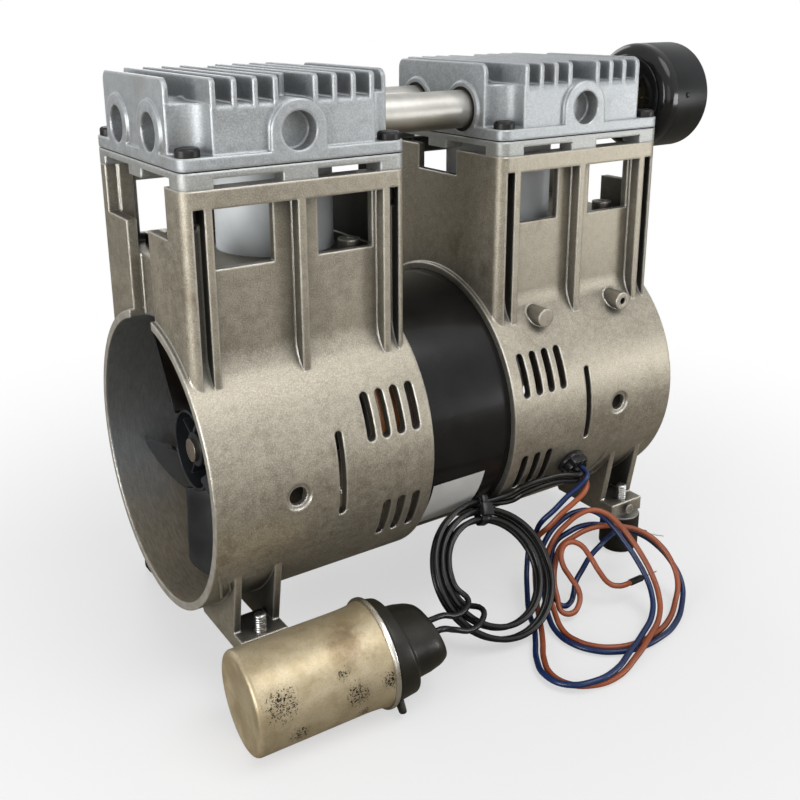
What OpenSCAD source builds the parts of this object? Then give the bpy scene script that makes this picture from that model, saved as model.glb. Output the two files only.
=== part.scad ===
// Oil-free twin-head piston vacuum pump with its run capacitor and leads.
// Millimetres, +Z up. The origin is on the floor, midway between the four feet.
// X runs along the shaft, towards the head that carries the intake filter.

/* [Stance] */
// Distance between the feet along the shaft
foot_span_x = 238.4; // [234:0.2:242]
// Distance between the feet across the shaft
foot_span_y = 129; // [126:1:132]
// Diameter of a rubber foot
foot_d = 22.7; // [18:0.1:24]
// Height of a rubber foot
foot_h = 22; // [14:0.5:30]
// Thickness of the washer on a foot
foot_washer_t = 0.8; // [0.5:0.1:1.5]
// Diameter of a foot's stud
stud_d = 6; // [4:0.5:8]
// Depth from the shaft's axis to the underside of a leg
leg_drop = 77.2; // [76:0.2:84]
// Length of a leg along the shaft
leg_l = 24; // [22:0.5:28]
// Thickness of a leg's two webs
leg_web = 3.5; // [2.5:0.1:5]
// Thickness of a leg's pad
leg_pad_t = 7.9; // [5:0.1:9]

/* [Shroud] */
// Outer diameter of the round housing
shroud_d = 150; // [148:0.5:152]
// Wall of the round housing
shroud_wall = 5; // [4.5:0.1:6]
// Wall left at the two ends of the round housing
rim_wall = 3.9; // [3:0.1:4.2]
// Length of the motor shell that shows between the housings
motor_gap = 52.4; // [44:0.2:56]
// How deep the motor shell sits in each housing
shell_entry = 6; // [4:0.5:6.5]
// How far the round housing stands out past the tower
rim_over = 2.2; // [1:0.1:4]
// Depth of the wider bore round each fan
fan_bore_l = 45; // [38:0.5:47]

/* [Towers] */
// Gap between the two towers
head_gap = 57; // [54:0.5:62]
// Length of a tower along the shaft
tower_l = 111.9; // [110:0.1:114]
// Width of a tower over its flat walls
tower_w = 96; // [94:0.5:98]
// How far the ribs and the top band stand out of the walls
rib_out = 6.7; // [5:0.1:8]
// Height from the shaft's axis to the top of a tower
tower_h = 140.4; // [136:0.2:146]
// Thickness of a tower's walls
tower_wall = 4; // [3:0.1:5]
// Thickness of a tower's outer end wall
end_wall = 5; // [4:0.1:6]
// Height of the band round the top of a tower
band_h = 8.4; // [7:0.1:10]
// Height from the shaft's axis to the deck that carries the cylinder
deck_h = 100; // [96:0.5:103]
// Thickness of the deck
deck_t = 4; // [3:0.1:5]
// Radius between a tower's wall and the round housing
fillet_r = 20; // [14:0.5:24]

/* [Cylinders and rods] */
// Bore of a cylinder
bore_d = 53; // [50:0.5:54]
// Wall of a cylinder
sleeve_wall = 2.8; // [2:0.1:3.5]
// How far a cylinder's axis is set towards the motor from the tower's middle
cyl_shift = 13.25; // [12:0.05:14]
// Stroke of a piston
stroke = 9; // [6:0.5:10]
// Thickness of a rod along the shaft
rod_t = 12; // [10:0.5:13]
// Diameter of the shaft
shaft_d = 12; // [10:0.5:13]
// Outer diameter of a shaft bearing
brg_d = 32; // [28:0.5:34]
// Width of a shaft bearing
brg_w = 10; // [8:0.5:10]
// Outer diameter of a rod's bearing
rod_brg_d = 42; // [38:0.5:44]

/* [Heads] */
// Thickness of the valve plate
plate_t = 3.1; // [2.5:0.1:4]
// Height of the valve plate's feet
plate_foot = 4.4; // [3:0.1:6]
// Thickness of the head gasket
gasket_t = 0.6; // [0.4:0.1:1]
// Thickness of the head's flange
flange_t = 5.4; // [4:0.1:7]
// Height of the head up to the floor between its fins
head_body_h = 26.5; // [25:0.5:30]
// Height of the fins above that floor
fin_h = 10.5; // [6:0.5:14]
// Thickness of a fin
fin_t = 2.2; // [1.6:0.1:3]
// Distance between fins
fin_pitch = 9.65; // [8.5:0.05:10]
// Diameter of a port
port_d = 17.2; // [14:0.1:18]
// Depth of a port
port_depth = 8; // [6:0.5:8.5]
// Distance of the end ports and of the tubes from the head's middle
port_y = 20.6; // [19:0.1:22]
// Height of the ports above the head's underside
port_h = 13.5; // [12.5:0.1:14.5]
// Diameter of the head screws
screw_d = 5; // [4:0.5:6]
// Outer diameter of the two tubes between the heads
tube_d = 19.5; // [16:0.1:20]
// Wall of those tubes
tube_wall = 1.8; // [1:0.1:3]

/* [Motor] */
// Wall of the motor shell
shell_wall = 2.5; // [2:0.1:3]
// Length of the stator and rotor cores
core_l = 60; // [50:0.5:62]
// Diameter of the rotor
rotor_d = 84; // [78:0.5:86]
// Air gap between rotor and stator
air_gap = 0.5; // [0.4:0.05:1]

/* [Fans] */
// Diameter over a fan's blades
fan_d = 138; // [130:0.5:139]
// Diameter of a fan's hub
fan_hub_d = 42.4; // [36:0.2:46]
// Depth of a fan's hub
fan_hub_l = 18; // [14:0.5:20]
// Number of blades
fan_blades = 5; // [4:1:6]
// Thickness of a blade
blade_t = 2.2; // [1.6:0.1:3]
// Angle that a blade wraps round the hub
blade_wrap = 32; // [26:1:34]

/* [Filter] */
// Diameter of the filter
filter_d = 60; // [54:0.5:62]
// Length of the filter
filter_l = 35; // [30:0.5:44]
// Gap between the head and the filter
filter_gap = 9.6; // [5:0.2:16]
// Wall of the filter's two covers
filter_wall = 2.2; // [1.6:0.1:3]

/* [Capacitor] */
// Diameter of the capacitor's can
cap_d = 47; // [40:0.2:48]
// Length of the can
cap_l = 66.7; // [60:0.1:75]
// Diameter of the can's rolled rim
cap_rim_d = 52; // [51:0.2:54]
// Length of the rubber boot on its terminals
boot_l = 30; // [26:0.5:34]

/* [Leads] */
// Diameter of the leads
lead_d = 3; // [2.6:0.1:3.1]
// Turns of the capacitor's coiled leads
black_turns = 2; // [1:1:2]
// Distance between turns where the cable tie gathers them
turn_pitch = 3.7; // [3.6:0.1:4]

/* [Hidden] */
$fn = 96;
EPS = 0.01;

// Clearances between pieces
seat_gap = 0.1;
run_gap = 0.05;
clear = 0.3;

// Stations along the shaft
shaft_h = leg_drop + foot_washer_t + foot_h;
half_l = tower_l / 2;
half_w = tower_w / 2 + rib_out;
wall_in = tower_w / 2 - tower_wall;
tower_in = head_gap / 2;
tower_out = tower_in + tower_l;
tower_c = (tower_in + tower_out) / 2;
cyl_x = tower_c - cyl_shift;
shroud_r = shroud_d / 2;
bore_r = shroud_r - shroud_wall;
shroud_in = motor_gap / 2;
shroud_out = tower_out + rim_over;
shell_r = shroud_r - rim_wall - seat_gap;
shell_end = shroud_in + shell_entry;
skirt_x = tower_out - end_wall - 4.4;
leg_x = foot_span_x / 2;
leg_y = foot_span_y / 2;
foot_thread = foot_h - 10;
foot_hole_d = 5;
foot_hole_l = 8;

// Heights above the shaft's axis
plate_under = tower_h + plate_foot;
plate_top = plate_under + plate_t;
head_z = plate_top + gasket_t;
flange_top = head_z + flange_t;
valley_z = head_z + head_body_h;
fin_top = valley_z + fin_h;
port_z = head_z + port_h;

// Cylinder, crank and piston
sleeve_r = bore_d / 2;
sleeve_or = sleeve_r + sleeve_wall;
sleeve_seat = 1;
crank_e = stroke / 2;
crown_z = plate_under - crank_e - 1;
piston_r = sleeve_r - crank_e - clear - seat_gap;
rod_brg_w = 9;
crank_r = shaft_d / 2 + crank_e + 2;
weight_x1 = cyl_x - rod_t / 2 - clear;
weight_t = 5.5;
weight_r = 28;
weight_x0 = weight_x1 - weight_t;
brg_out = weight_x0 - clear;
brg_in = brg_out - brg_w;

// Head screws and their channels in the tower's corners
screw_in = 6.2;
screw_len = 28;
screw_head_d = 10.8;
rib_u = 42.8;
rib_t = 3.5;
corner_rib_t = 4.5;
corner_r = 5.5;
pocket_r = 9.8;
tube_depth = port_depth;

// Fans
fan_x1 = shroud_out - 19.3;
fan_x0 = fan_x1 - fan_hub_l;
blade_l = 18;
blade_x1 = fan_x1 + 3;

// Bolts that clamp the two housings round the motor
bolt_d = 5;
bolt_inset = 6.5;
bolt_at = shell_r - shell_wall - bolt_inset;
bolt_turns = [52, 128, 232, 308];

// Cord gland on the right housing
gland_x = 72.3;
gland_tilt = 24.3;
gland_d = 16;
gland_out = 7;
lead_step = lead_d + 0.7;

// Capacitor
cap_rim_t = 2.6;
cap_at = [-146.4, -98.6];
cap_yaw = -3.6;
cap_tilt = atan((cap_rim_d - cap_d) / 2 / (cap_l - cap_rim_t));

// Coil of the capacitor's leads, leaning on the motor shell
coil_at = [0, -86.3, 29.6];
coil_tilt = 48.6;
coil_mid = [4.25, 2.8];
coil_half = [30.25, 30.2];
tie_turn = 75;
tie_past = 8;

// The two ends are the same castings and parts, turned about the vertical
module right_end() {
    translate([0, 0, shaft_h]) children();
}

module left_end() {
    rotate([0, 0, 180]) right_end() children();
}

module along_x(x0, x1, r) {
    translate([x0, 0, 0]) rotate([0, 90, 0]) cylinder(h = x1 - x0, r = r);
}

module yz_slab(x0, x1) {
    translate([x0, 0, 0]) rotate([90, 0, 90]) linear_extrude(height = x1 - x0) children();
}

module ring_x(x0, x1, r_out, r_in) {
    difference() {
        along_x(x0, x1, r_out);
        along_x(x0 - EPS, x1 + EPS, r_in);
    }
}

module rounded_rect(l, w, r) {
    square([l - 2 * r, w], center = true);
    square([l, w - 2 * r], center = true);
    for (sx = [-1, 1], sy = [-1, 1])
        translate([sx * (l / 2 - r), sy * (w / 2 - r)]) circle(r = r);
}

module rounded_plate(l, w, r, z0, z1) {
    translate([tower_c, 0, z0]) linear_extrude(height = z1 - z0) rounded_rect(l, w, r);
}

module at_corners() {
    for (sx = [-1, 1], sy = [-1, 1])
        translate([tower_c + sx * (half_l - screw_in), sy * (half_w - screw_in), 0]) children();
}

// Drum with its far edge rounded, standing on z = 0
module drum(r, h, edge) {
    rotate_extrude() {
        square([r - edge, h]);
        square([r, h - edge]);
        translate([r - edge, h - edge]) intersection() {
            circle(r = edge);
            square(edge);
        }
    }
}

// Housing: round shroud, square tower, legs and the bearing's spider
module tower_solid() {
    translate([tower_in, -tower_w / 2, 0]) cube([tower_l, tower_w, tower_h]);
    intersection() {
        rounded_plate(tower_l, 2 * half_w, corner_r, 0, tower_h);
        union() {
            translate([tower_in, -half_w, tower_h - band_h]) cube([tower_l, 2 * half_w, band_h]);
            for (u = [-half_l, -rib_u - rib_t, -1.9, rib_u, half_l - corner_rib_t]) {
                t = abs(u) < 5 ? 3.8 : abs(u) < half_l - corner_rib_t ? rib_t : corner_rib_t;
                translate([tower_c + u, -half_w, 50]) cube([t, 2 * half_w, tower_h - band_h - 50 + EPS]);
            }
        }
    }
}

module wall_fillet() {
    w = tower_w / 2;
    cy = w + fillet_r;
    cz = sqrt(pow(shroud_r + fillet_r, 2) - cy * cy);
    k = shroud_r / (shroud_r + fillet_r);
    for (s = [-1, 1])
        yz_slab(tower_in, tower_out) difference() {
            polygon([[s * (w - 2), cz], [s * w, cz], [s * cy * k, cz * k], [s * (w - 2), cz * k - 5]]);
            translate([s * cy, cz]) circle(r = fillet_r);
        }
}

module leg() {
    front = leg_y - 4.5;
    top_z = -36;
    for (x = [leg_x - leg_l / 2, leg_x + leg_l / 2 - leg_web])
        yz_slab(x, x + leg_web)
            polygon([
                [-sqrt(shroud_r * shroud_r - top_z * top_z), top_z], [-front, leg_pad_t - leg_drop],
                [-front, -leg_drop], [-24, -leg_drop], [-20, -bore_r - 1], [-45, -bore_r + 20],
            ]);
    translate([leg_x - leg_l / 2, -leg_y - 4.8, -leg_drop]) cube([leg_l, 21.3, leg_pad_t]);
}

module vents() {
    for (side = [-1, 1], x = [35.3, 44, 52.4, 60.8]) slot(x, side, 18.8, 36.2, 5);
    for (side = [-1, 1], x = [35.3, 44, 52.4]) slot(x, side, -36.2, -18.8, 5);
    for (side = [-1, 1]) slot(78.3, side, -14.2, 23.3, 4);
    for (side = [-1, 1]) translate([101.5, side * shroud_r, 0]) rotate([90, 0, 0]) {
        cylinder(h = 40, r = 4.6, center = true);
        cylinder(h = 2, r = 6.5, center = true);
    }
}

module slot(x, side, z0, z1, w) {
    y0 = side > 0 ? 48 : -shroud_r - 1;
    translate([x - w / 2, y0, z0]) cube([w, shroud_r - 47, z1 - z0]);
    for (z = [z0, z1])
        translate([x, y0 + shroud_r - 47, z]) rotate([90, 0, 0]) cylinder(h = shroud_r - 47, r = w / 2);
}

module above_shroud(x0, x1, z1) {
    difference() {
        translate([x0, -wall_in, 0]) cube([x1 - x0, 2 * wall_in, z1]);
        along_x(x0 - 1, x1 + 1, shroud_r);
    }
}

module tower_hollow() {
    difference() {
        union() {
            translate([tower_in + tower_wall, -wall_in, deck_h])
                cube([tower_l - tower_wall - end_wall, 2 * wall_in, tower_h]);
            above_shroud(tower_in + tower_wall, skirt_x, deck_h - deck_t);
            above_shroud(skirt_x + tower_wall, tower_out - end_wall, deck_h + 1);
        }
        intersection() {
            at_corners() translate([-12, -12, tower_h - 28]) cube([24, 24, 30]);
            difference() {
                translate([tower_in, -half_w, 0]) cube([tower_l, 2 * half_w, tower_h + 1]);
                translate([tower_c - rib_u, -half_w, 0]) cube([2 * rib_u, 2 * half_w, tower_h + 2]);
                translate([tower_in, -42, 0]) cube([tower_l, 84, tower_h + 2]);
            }
        }
    }
    translate([cyl_x, 0, 40]) cylinder(h = deck_h, r = sleeve_r);
    translate([cyl_x, 0, deck_h - sleeve_seat]) cylinder(h = 2, r = sleeve_or + seat_gap);
}

module windows() {
    for (s = [-1, 1], u = [-40.7, 11.2])
        translate([tower_c + u, s * tower_w / 2 - 6, deck_h + 4]) cube([29.5, 12, 27]);
    // Opening in the outer end wall, with the slot below it
    translate([tower_out - end_wall - 1, -43.5, 117]) cube([end_wall + 2, 79, tower_h]);
    translate([tower_out - end_wall - 1, -17.8, 50]) cube([end_wall + 9, 29.1, tower_h]);
    translate([tower_in - 1, -17.5, 127]) cube([tower_wall + 2, 35, tower_h]);
    // Recesses that show the ends of the head screws
    for (s = [-1, 1], u = [-rib_u - rib_t - 5.1, rib_u + rib_t])
        translate([tower_c + u, s > 0 ? 45.5 : -half_w - 1, tower_h - 15.9]) cube([5.1, 10.2, 7.9]);
}

module spider() {
    difference() {
        union() {
            along_x(brg_in - 3, brg_out, brg_d / 2 + 5);
            for (a = bolt_turns)
                rotate([a, 0, 0]) translate([brg_in - 2, 0, -5]) cube([6.5, bore_r + 1, 10]);
        }
        along_x(brg_in, brg_out + 1, brg_d / 2 + 0.02);
        along_x(brg_in - 4, brg_in + 1, brg_d / 2 - 4);
        bolt_holes(brg_in - 3, brg_in + 6);
    }
}

module bolt_holes(x0, x1) {
    for (a = bolt_turns)
        rotate([a, 0, 0]) translate([0, bolt_at, 0]) along_x(x0, x1, bolt_d / 2 + seat_gap);
}

module housing(has_gland) {
    difference() {
        union() {
            along_x(shroud_in, shroud_out, shroud_r);
            tower_solid();
            wall_fillet();
            leg();
            mirror([0, 1, 0]) leg();
            for (u = [-28.5, 28.5])
                translate([tower_c + u, -45, 54]) rotate([90, 0, 0]) cylinder(h = 17, r = 5);
            for (s = [-1, 1]) translate([tower_c + s * 36, -s * 34, deck_h - 1]) cylinder(h = 7, r = 5.5);
        }
        tower_hollow_but_bosses();
        along_x(shroud_in - 1, shroud_out + 1, bore_r);
        along_x(shroud_in - 1, shell_end, shell_r + seat_gap);
        along_x(shroud_out - fan_bore_l, shroud_out + 1, shroud_r - rim_wall);
        windows();
        vents();
        at_corners() translate([0, 0, tower_h - 18]) cylinder(h = 20, r = screw_d / 2 + seat_gap);
        for (s = [-1, 1])
            translate([leg_x, s * leg_y, -leg_drop - 1])
                cylinder(h = leg_pad_t + 2, r = stud_d / 2 + seat_gap);
        translate([tower_c + 28.5, -54, 54]) rotate([90, 0, 0]) cylinder(h = 9, r = 2);
        if (has_gland) at_gland() cylinder(h = shroud_r + 5, r = 5.6);
    }
    spider();
}

module tower_hollow_but_bosses() {
    difference() {
        tower_hollow();
        for (s = [-1, 1]) translate([tower_c + s * 36, -s * 34, deck_h - 1]) difference() {
            cylinder(h = 7, r = 5.5);
            translate([0, 0, 2]) cylinder(h = 6, r = 2);
        }
    }
}

module housing_left() {
    color([0.55, 0.52, 0.47]) left_end() housing(false);
}

module housing_right() {
    color([0.55, 0.52, 0.47]) right_end() housing(true);
}

// Motor between the housings
module motor_shell() {
    color("dimgray") right_end() ring_x(-shell_end, shell_end, shell_r, shell_r - shell_wall);
}

module stator_core() {
    color("gray") right_end() difference() {
        ring_x(-core_l / 2, core_l / 2, shell_r - shell_wall - 0.02, rotor_d / 2 + air_gap);
        bolt_holes(-core_l / 2 - 1, core_l / 2 + 1);
    }
}

module stator_windings() {
    r_in = rotor_d / 2 + 3;
    r_out = bolt_at - bolt_d / 2 - 1.5;
    color("chocolate") right_end() for (s = [0, 180]) rotate([0, 0, s]) translate([core_l / 2, 0, 0])
        rotate([0, 90, 0]) difference() {
            drum(r_out, brg_in - 3 - core_l / 2 - 2, 4);
            translate([0, 0, -1]) cylinder(h = 40, r = r_in);
        }
}

module bearing() {
    color("silver") ring_x(brg_in, brg_out, brg_d / 2, shaft_d / 2 + run_gap);
}

module bearing_left() {
    left_end() bearing();
}

module bearing_right() {
    right_end() bearing();
}

module through_bolts() {
    x1 = brg_in + 4.5;
    color("gray") right_end() for (a = bolt_turns) rotate([a, 0, 0]) translate([0, bolt_at, 0]) {
        along_x(-x1 - 1, x1 + 1, bolt_d / 2);
        for (s = [0, 180]) rotate([0, 0, s]) translate([x1, 0, 0])
            rotate([0, 90, 0]) cylinder(h = 3.5, r = bolt_d * 0.92, $fn = 6);
    }
}

// Cylinder, valve plate and head of one end
module cylinder_sleeve() {
    color("lightgray") translate([cyl_x, 0, 0]) difference() {
        translate([0, 0, deck_h - sleeve_seat]) cylinder(h = plate_under - deck_h + sleeve_seat, r = sleeve_or);
        cylinder(h = plate_under + 1, r = sleeve_r);
    }
}

module cylinder_left() {
    left_end() cylinder_sleeve();
}

module cylinder_right() {
    right_end() cylinder_sleeve();
}

module valve_holes(z0, z1) {
    for (s = [-1, 1], k = [-1, 0, 1])
        translate([cyl_x + k * 7, s * 10, z0]) cylinder(h = z1 - z0, r = 2.4);
}

module valve_plate() {
    w = 2 * half_w;
    color("silver") difference() {
        union() {
            rounded_plate(tower_l, w, corner_r, plate_under, plate_top);
            intersection() {
                rounded_plate(tower_l, w, corner_r, tower_h, plate_under + EPS);
                union() {
                    for (sx = [-1, 1], sy = [-1, 1])
                        translate([tower_c + sx * 49 - 7.5, sy * 49.5 - 7.5, tower_h]) cube([15, 15, 9]);
                    for (s = [-1, 1])
                        translate([tower_c - 8.5, s * 50 - 5, tower_h]) cube([17, 10, 9]);
                    for (s = [-1, 1])
                        translate([tower_c + s * 51 - 5.5, -8, tower_h]) cube([11, 16, 9]);
                }
            }
        }
        translate([0, 0, plate_top + EPS]) rounded_plate(tower_l + 2, w + 2, corner_r, 0, 9);
        at_corners() translate([0, 0, tower_h - 1]) cylinder(h = 12, r = screw_d / 2 + seat_gap);
        valve_holes(plate_under - 1, plate_top + 1);
    }
}

module valve_plate_left() {
    left_end() valve_plate();
}

module valve_plate_right() {
    right_end() valve_plate();
}

module reeds() {
    color("steelblue") {
        translate([cyl_x - 11, 6, plate_top]) cube([22, 8, 0.3]);
        translate([cyl_x - 11, -14, plate_under - 0.3]) cube([22, 8, 0.3]);
    }
}

module reeds_left() {
    left_end() reeds();
}

module reeds_right() {
    right_end() reeds();
}

module chambers(z0, z1) {
    for (s = [-1, 1])
        translate([tower_c - 42, s * 18.5 - 15, z0]) cube([84, 30, z1 - z0]);
}

module head_gasket() {
    color("black") difference() {
        rounded_plate(tower_l - 1.6, 2 * half_w - 1.6, corner_r - 0.8, plate_top, head_z);
        chambers(plate_top - 1, head_z + 1);
        at_corners() translate([0, 0, plate_top - 1]) cylinder(h = 3, r = screw_d / 2 + seat_gap);
    }
}

module head_gasket_left() {
    left_end() head_gasket();
}

module head_gasket_right() {
    right_end() head_gasket();
}

// Outline of a plate on edge across the head, with its two top corners rounded
module edge_outline(half_y, z0, z1, r) {
    translate([-half_y, z0]) square([2 * half_y, z1 - z0 - r]);
    translate([r - half_y, z0]) square([2 * (half_y - r), z1 - z0]);
    for (s = [-1, 1]) translate([s * (half_y - r), z1 - r]) circle(r = r);
}

module head_solid() {
    fin_half = 52.5;
    end_half = 38.6;
    rounded_plate(tower_l, 2 * half_w, corner_r, head_z, flange_top);
    difference() {
        union() {
            yz_slab(tower_in + 1.2, tower_out - 1.2) edge_outline(fin_half, head_z, valley_z, 3);
            for (k = [-4:4]) {
                x = tower_c + k * fin_pitch - fin_t / 2;
                yz_slab(x, x + fin_t) edge_outline(fin_half, valley_z - 6, fin_top, 2.5);
            }
        }
        // The middle fin stops behind the front and back ports
        for (s = [-1, 1])
            translate([tower_c - fin_t, s * 48 - 9, valley_z]) cube([2 * fin_t, 18, fin_h + 1]);
        at_corners() translate([0, 0, flange_top]) cylinder(h = 40, r = pocket_r);
        for (sx = [-1, 1], sy = [-1, 1]) {
            cx = tower_c + sx * (half_l - screw_in);
            cy = sy * (half_w - screw_in);
            translate([cx - pocket_r + (sx < 0 ? -20 : 0), cy + (sy < 0 ? -20 : 0), flange_top])
                cube([20 + pocket_r + (sx < 0 ? pocket_r : 0), 20, 40]);
            translate([cx + (sx < 0 ? -20 : 0), cy - pocket_r + (sy < 0 ? -20 : 0), flange_top])
                cube([20, 20 + pocket_r + (sy < 0 ? pocket_r : 0), 40]);
        }
    }
    for (x = [tower_in + 1.2, tower_out - 1.2 - fin_t])
        yz_slab(x, x + fin_t) edge_outline(end_half, head_z, fin_top, 5);
    // Bosses round the ports
    for (s = [-1, 1]) {
        translate([tower_c, s * half_w, port_z]) rotate([s * 90, 0, 0]) cylinder(h = 16, r = port_d / 2 + 5.1);
        translate([tower_c - port_d / 2 - 5.1, s > 0 ? half_w - 16 : -half_w, head_z])
            cube([port_d + 10.2, 16, port_z - head_z]);
        translate([0, s * port_y, port_z]) along_x(tower_in, tower_out, port_d / 2 + 5.4);
    }
}

module head_cover(drilled) {
    color("lightgray") difference() {
        head_solid();
        translate([tower_in - 1, -half_w - 1, head_z - 5]) cube([tower_l + 2, 2 * half_w + 2, 5]);
        chambers(head_z - 1, head_z + 20);
        for (s = [-1, 1]) {
            translate([tower_c, s * (half_w + 1), port_z]) rotate([s * 90, 0, 0])
                cylinder(h = port_depth + 1, r = port_d / 2);
            translate([0, s * port_y, port_z]) {
                along_x(tower_out - port_depth, tower_out + 1, port_d / 2);
                along_x(tower_in - 1, tower_in + tube_depth, tube_d / 2 + seat_gap);
                along_x(tower_in - 1, tower_in + 1.6, tube_d / 2 + 1.8);
                along_x(tower_in, tower_in + 30, 5);
                if (drilled) along_x(tower_out - 30, tower_out, 5);
            }
        }
        at_corners() translate([0, 0, head_z - 1]) cylinder(h = 12, r = screw_d / 2 + seat_gap);
    }
}

module head_cover_left() {
    left_end() head_cover(false);
}

module head_cover_right() {
    right_end() head_cover(true);
}

module head_screws() {
    color([0.15, 0.15, 0.15]) at_corners() translate([0, 0, flange_top]) {
        translate([0, 0, -screw_len]) cylinder(h = screw_len + 1, r = screw_d / 2);
        difference() {
            drum(screw_head_d / 2, 4, 1.6);
            translate([-screw_head_d, -0.7, 2.4]) cube([2 * screw_head_d, 1.4, 4]);
        }
    }
}

module head_screws_left() {
    left_end() head_screws();
}

module head_screws_right() {
    right_end() head_screws();
}

// Tubes between the heads
module crossover_tube(s) {
    color("silver") right_end() translate([0, s * port_y, port_z])
        ring_x(0.3 - tower_in - tube_depth, tower_in + tube_depth - 0.3, tube_d / 2, tube_d / 2 - tube_wall);
}

module crossover_tube_front() {
    crossover_tube(-1);
}

module crossover_tube_back() {
    crossover_tube(1);
}

module tube_seals() {
    color("black") right_end() for (s = [-1, 1], x = [-tower_in - 1.5, tower_in + 0.1])
        translate([0, s * port_y, port_z]) ring_x(x, x + 1.4, tube_d / 2 + 1.7, tube_d / 2 + 0.02);
}

// Intake filter on the right head
module at_filter() {
    translate([0, -port_y, shaft_h + port_z]) children();
}

filter_x0 = tower_out + filter_gap;
filter_x1 = filter_x0 + filter_l;
filter_base_l = 9;
filter_split = filter_x0 + filter_base_l;
filter_shoulder = 6;
felt_gap = 5;
felt_t = 11;
nipple_r = port_d / 2 - seat_gap;

module filter_nipple() {
    color("silver") at_filter() difference() {
        union() {
            along_x(tower_out - port_depth + 0.3, filter_x0 + filter_wall + 3, nipple_r);
            translate([tower_out + 0.2, 0, 0]) rotate([0, 90, 0])
                cylinder(h = filter_gap - 0.4, r = port_d / 2 + 3, $fn = 6);
        }
        along_x(tower_out - port_depth, filter_x1, port_d / 2 - 3);
    }
}

module filter_base() {
    r = filter_d / 2;
    color([0.1, 0.1, 0.1]) at_filter() translate([filter_split, 0, 0]) rotate([0, -90, 0]) difference() {
        drum(r, filter_base_l, filter_shoulder);
        translate([0, 0, -filter_wall]) drum(r - filter_wall, filter_base_l, filter_shoulder - 2);
        cylinder(h = 2 * filter_base_l + 2, r = nipple_r + 0.05);
    }
}

module filter_element() {
    color("lightsteelblue") at_filter()
        ring_x(filter_x0 + filter_wall + 1, filter_x1 - filter_wall, filter_d / 2 - felt_gap,
            filter_d / 2 - felt_gap - felt_t);
}

module filter_cover() {
    r = filter_d / 2;
    color([0.1, 0.1, 0.1]) at_filter() translate([filter_split + 0.05, 0, 0]) rotate([0, 90, 0]) difference() {
        drum(r, filter_x1 - filter_split, 2.5);
        translate([0, 0, -EPS]) cylinder(h = filter_x1 - filter_split - filter_wall, r = r - filter_wall);
        for (s = [-1, 1]) translate([s * r - 4, -1.6, 3]) cube([8, 3.2, 17]);
    }
}

// Feet
module at_feet() {
    for (sx = [-1, 1], sy = [-1, 1]) translate([sx * leg_x, sy * leg_y, 0]) children();
}

module rubber_feet() {
    color([0.12, 0.12, 0.12]) at_feet() difference() {
        union() {
            cylinder(h = 3, r1 = foot_d / 2 - 1.6, r2 = foot_d / 2);
            translate([0, 0, 3]) cylinder(h = foot_h - 3, r = foot_d / 2);
        }
        translate([0, 0, foot_h - foot_thread]) cylinder(h = foot_thread + 1, r = stud_d / 2);
        translate([0, 0, -1]) cylinder(h = foot_hole_l + 1, r = foot_hole_d / 2);
    }
}

module foot_washers() {
    color("silver") at_feet() translate([0, 0, foot_h]) difference() {
        cylinder(h = foot_washer_t, r = foot_d / 2 - 0.4);
        translate([0, 0, -1]) cylinder(h = 3, r = stud_d / 2 + seat_gap);
    }
}

module foot_studs() {
    top = foot_h + foot_washer_t + leg_pad_t + 9.4;
    color("silver") at_feet() translate([0, 0, foot_h - foot_thread])
        drum(stud_d / 2, top - foot_h + foot_thread, 1);
}

// Cord gland; its own z runs out from the shaft's axis
module at_gland() {
    translate([gland_x, 0, 0]) rotate([gland_tilt, 0, 0]) rotate([90, 0, 0]) children();
}

module cord_gland() {
    color([0.1, 0.1, 0.1]) right_end() at_gland() difference() {
        union() {
            translate([0, 0, bore_r - 4]) cylinder(h = 10, r = 5.5);
            translate([0, 0, shroud_r + 0.1]) cylinder(h = 2.4, r = gland_d / 2);
            translate([0, 0, shroud_r]) cylinder(h = gland_out, r = 6.4);
            translate([-5, 0.5, shroud_r]) cube([10, 6.6, gland_out]);
        }
    }
}

// Shaft and what turns with it
module shaft() {
    color("silver") right_end() along_x(-fan_x1, fan_x1, shaft_d / 2);
}

module rotor_core() {
    color("gray") right_end() difference() {
        union() {
            along_x(-core_l / 2, core_l / 2, rotor_d / 2);
            along_x(-core_l / 2 - 7, core_l / 2 + 7, rotor_d / 2 - 3);
        }
        along_x(-core_l, core_l, shaft_d / 2);
        for (s = [0, 180]) rotate([0, 0, s]) along_x(core_l / 2 - 1, core_l, rotor_d / 2 - 12);
    }
}

module eccentric() {
    color("darkgray") difference() {
        union() {
            translate([0, crank_e, 0]) along_x(weight_x0, cyl_x + rod_t / 2 + clear, crank_r);
            intersection() {
                along_x(weight_x0, weight_x1, weight_r);
                translate([weight_x0, -weight_r - 2, -weight_r - 2])
                    cube([2 * (weight_x1 - weight_x0), weight_r + 2, 2 * weight_r + 4]);
            }
        }
        along_x(weight_x0 - 1, cyl_x + rod_t, shaft_d / 2);
    }
}

module eccentric_left() {
    left_end() eccentric();
}

module eccentric_right() {
    right_end() eccentric();
}

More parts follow.
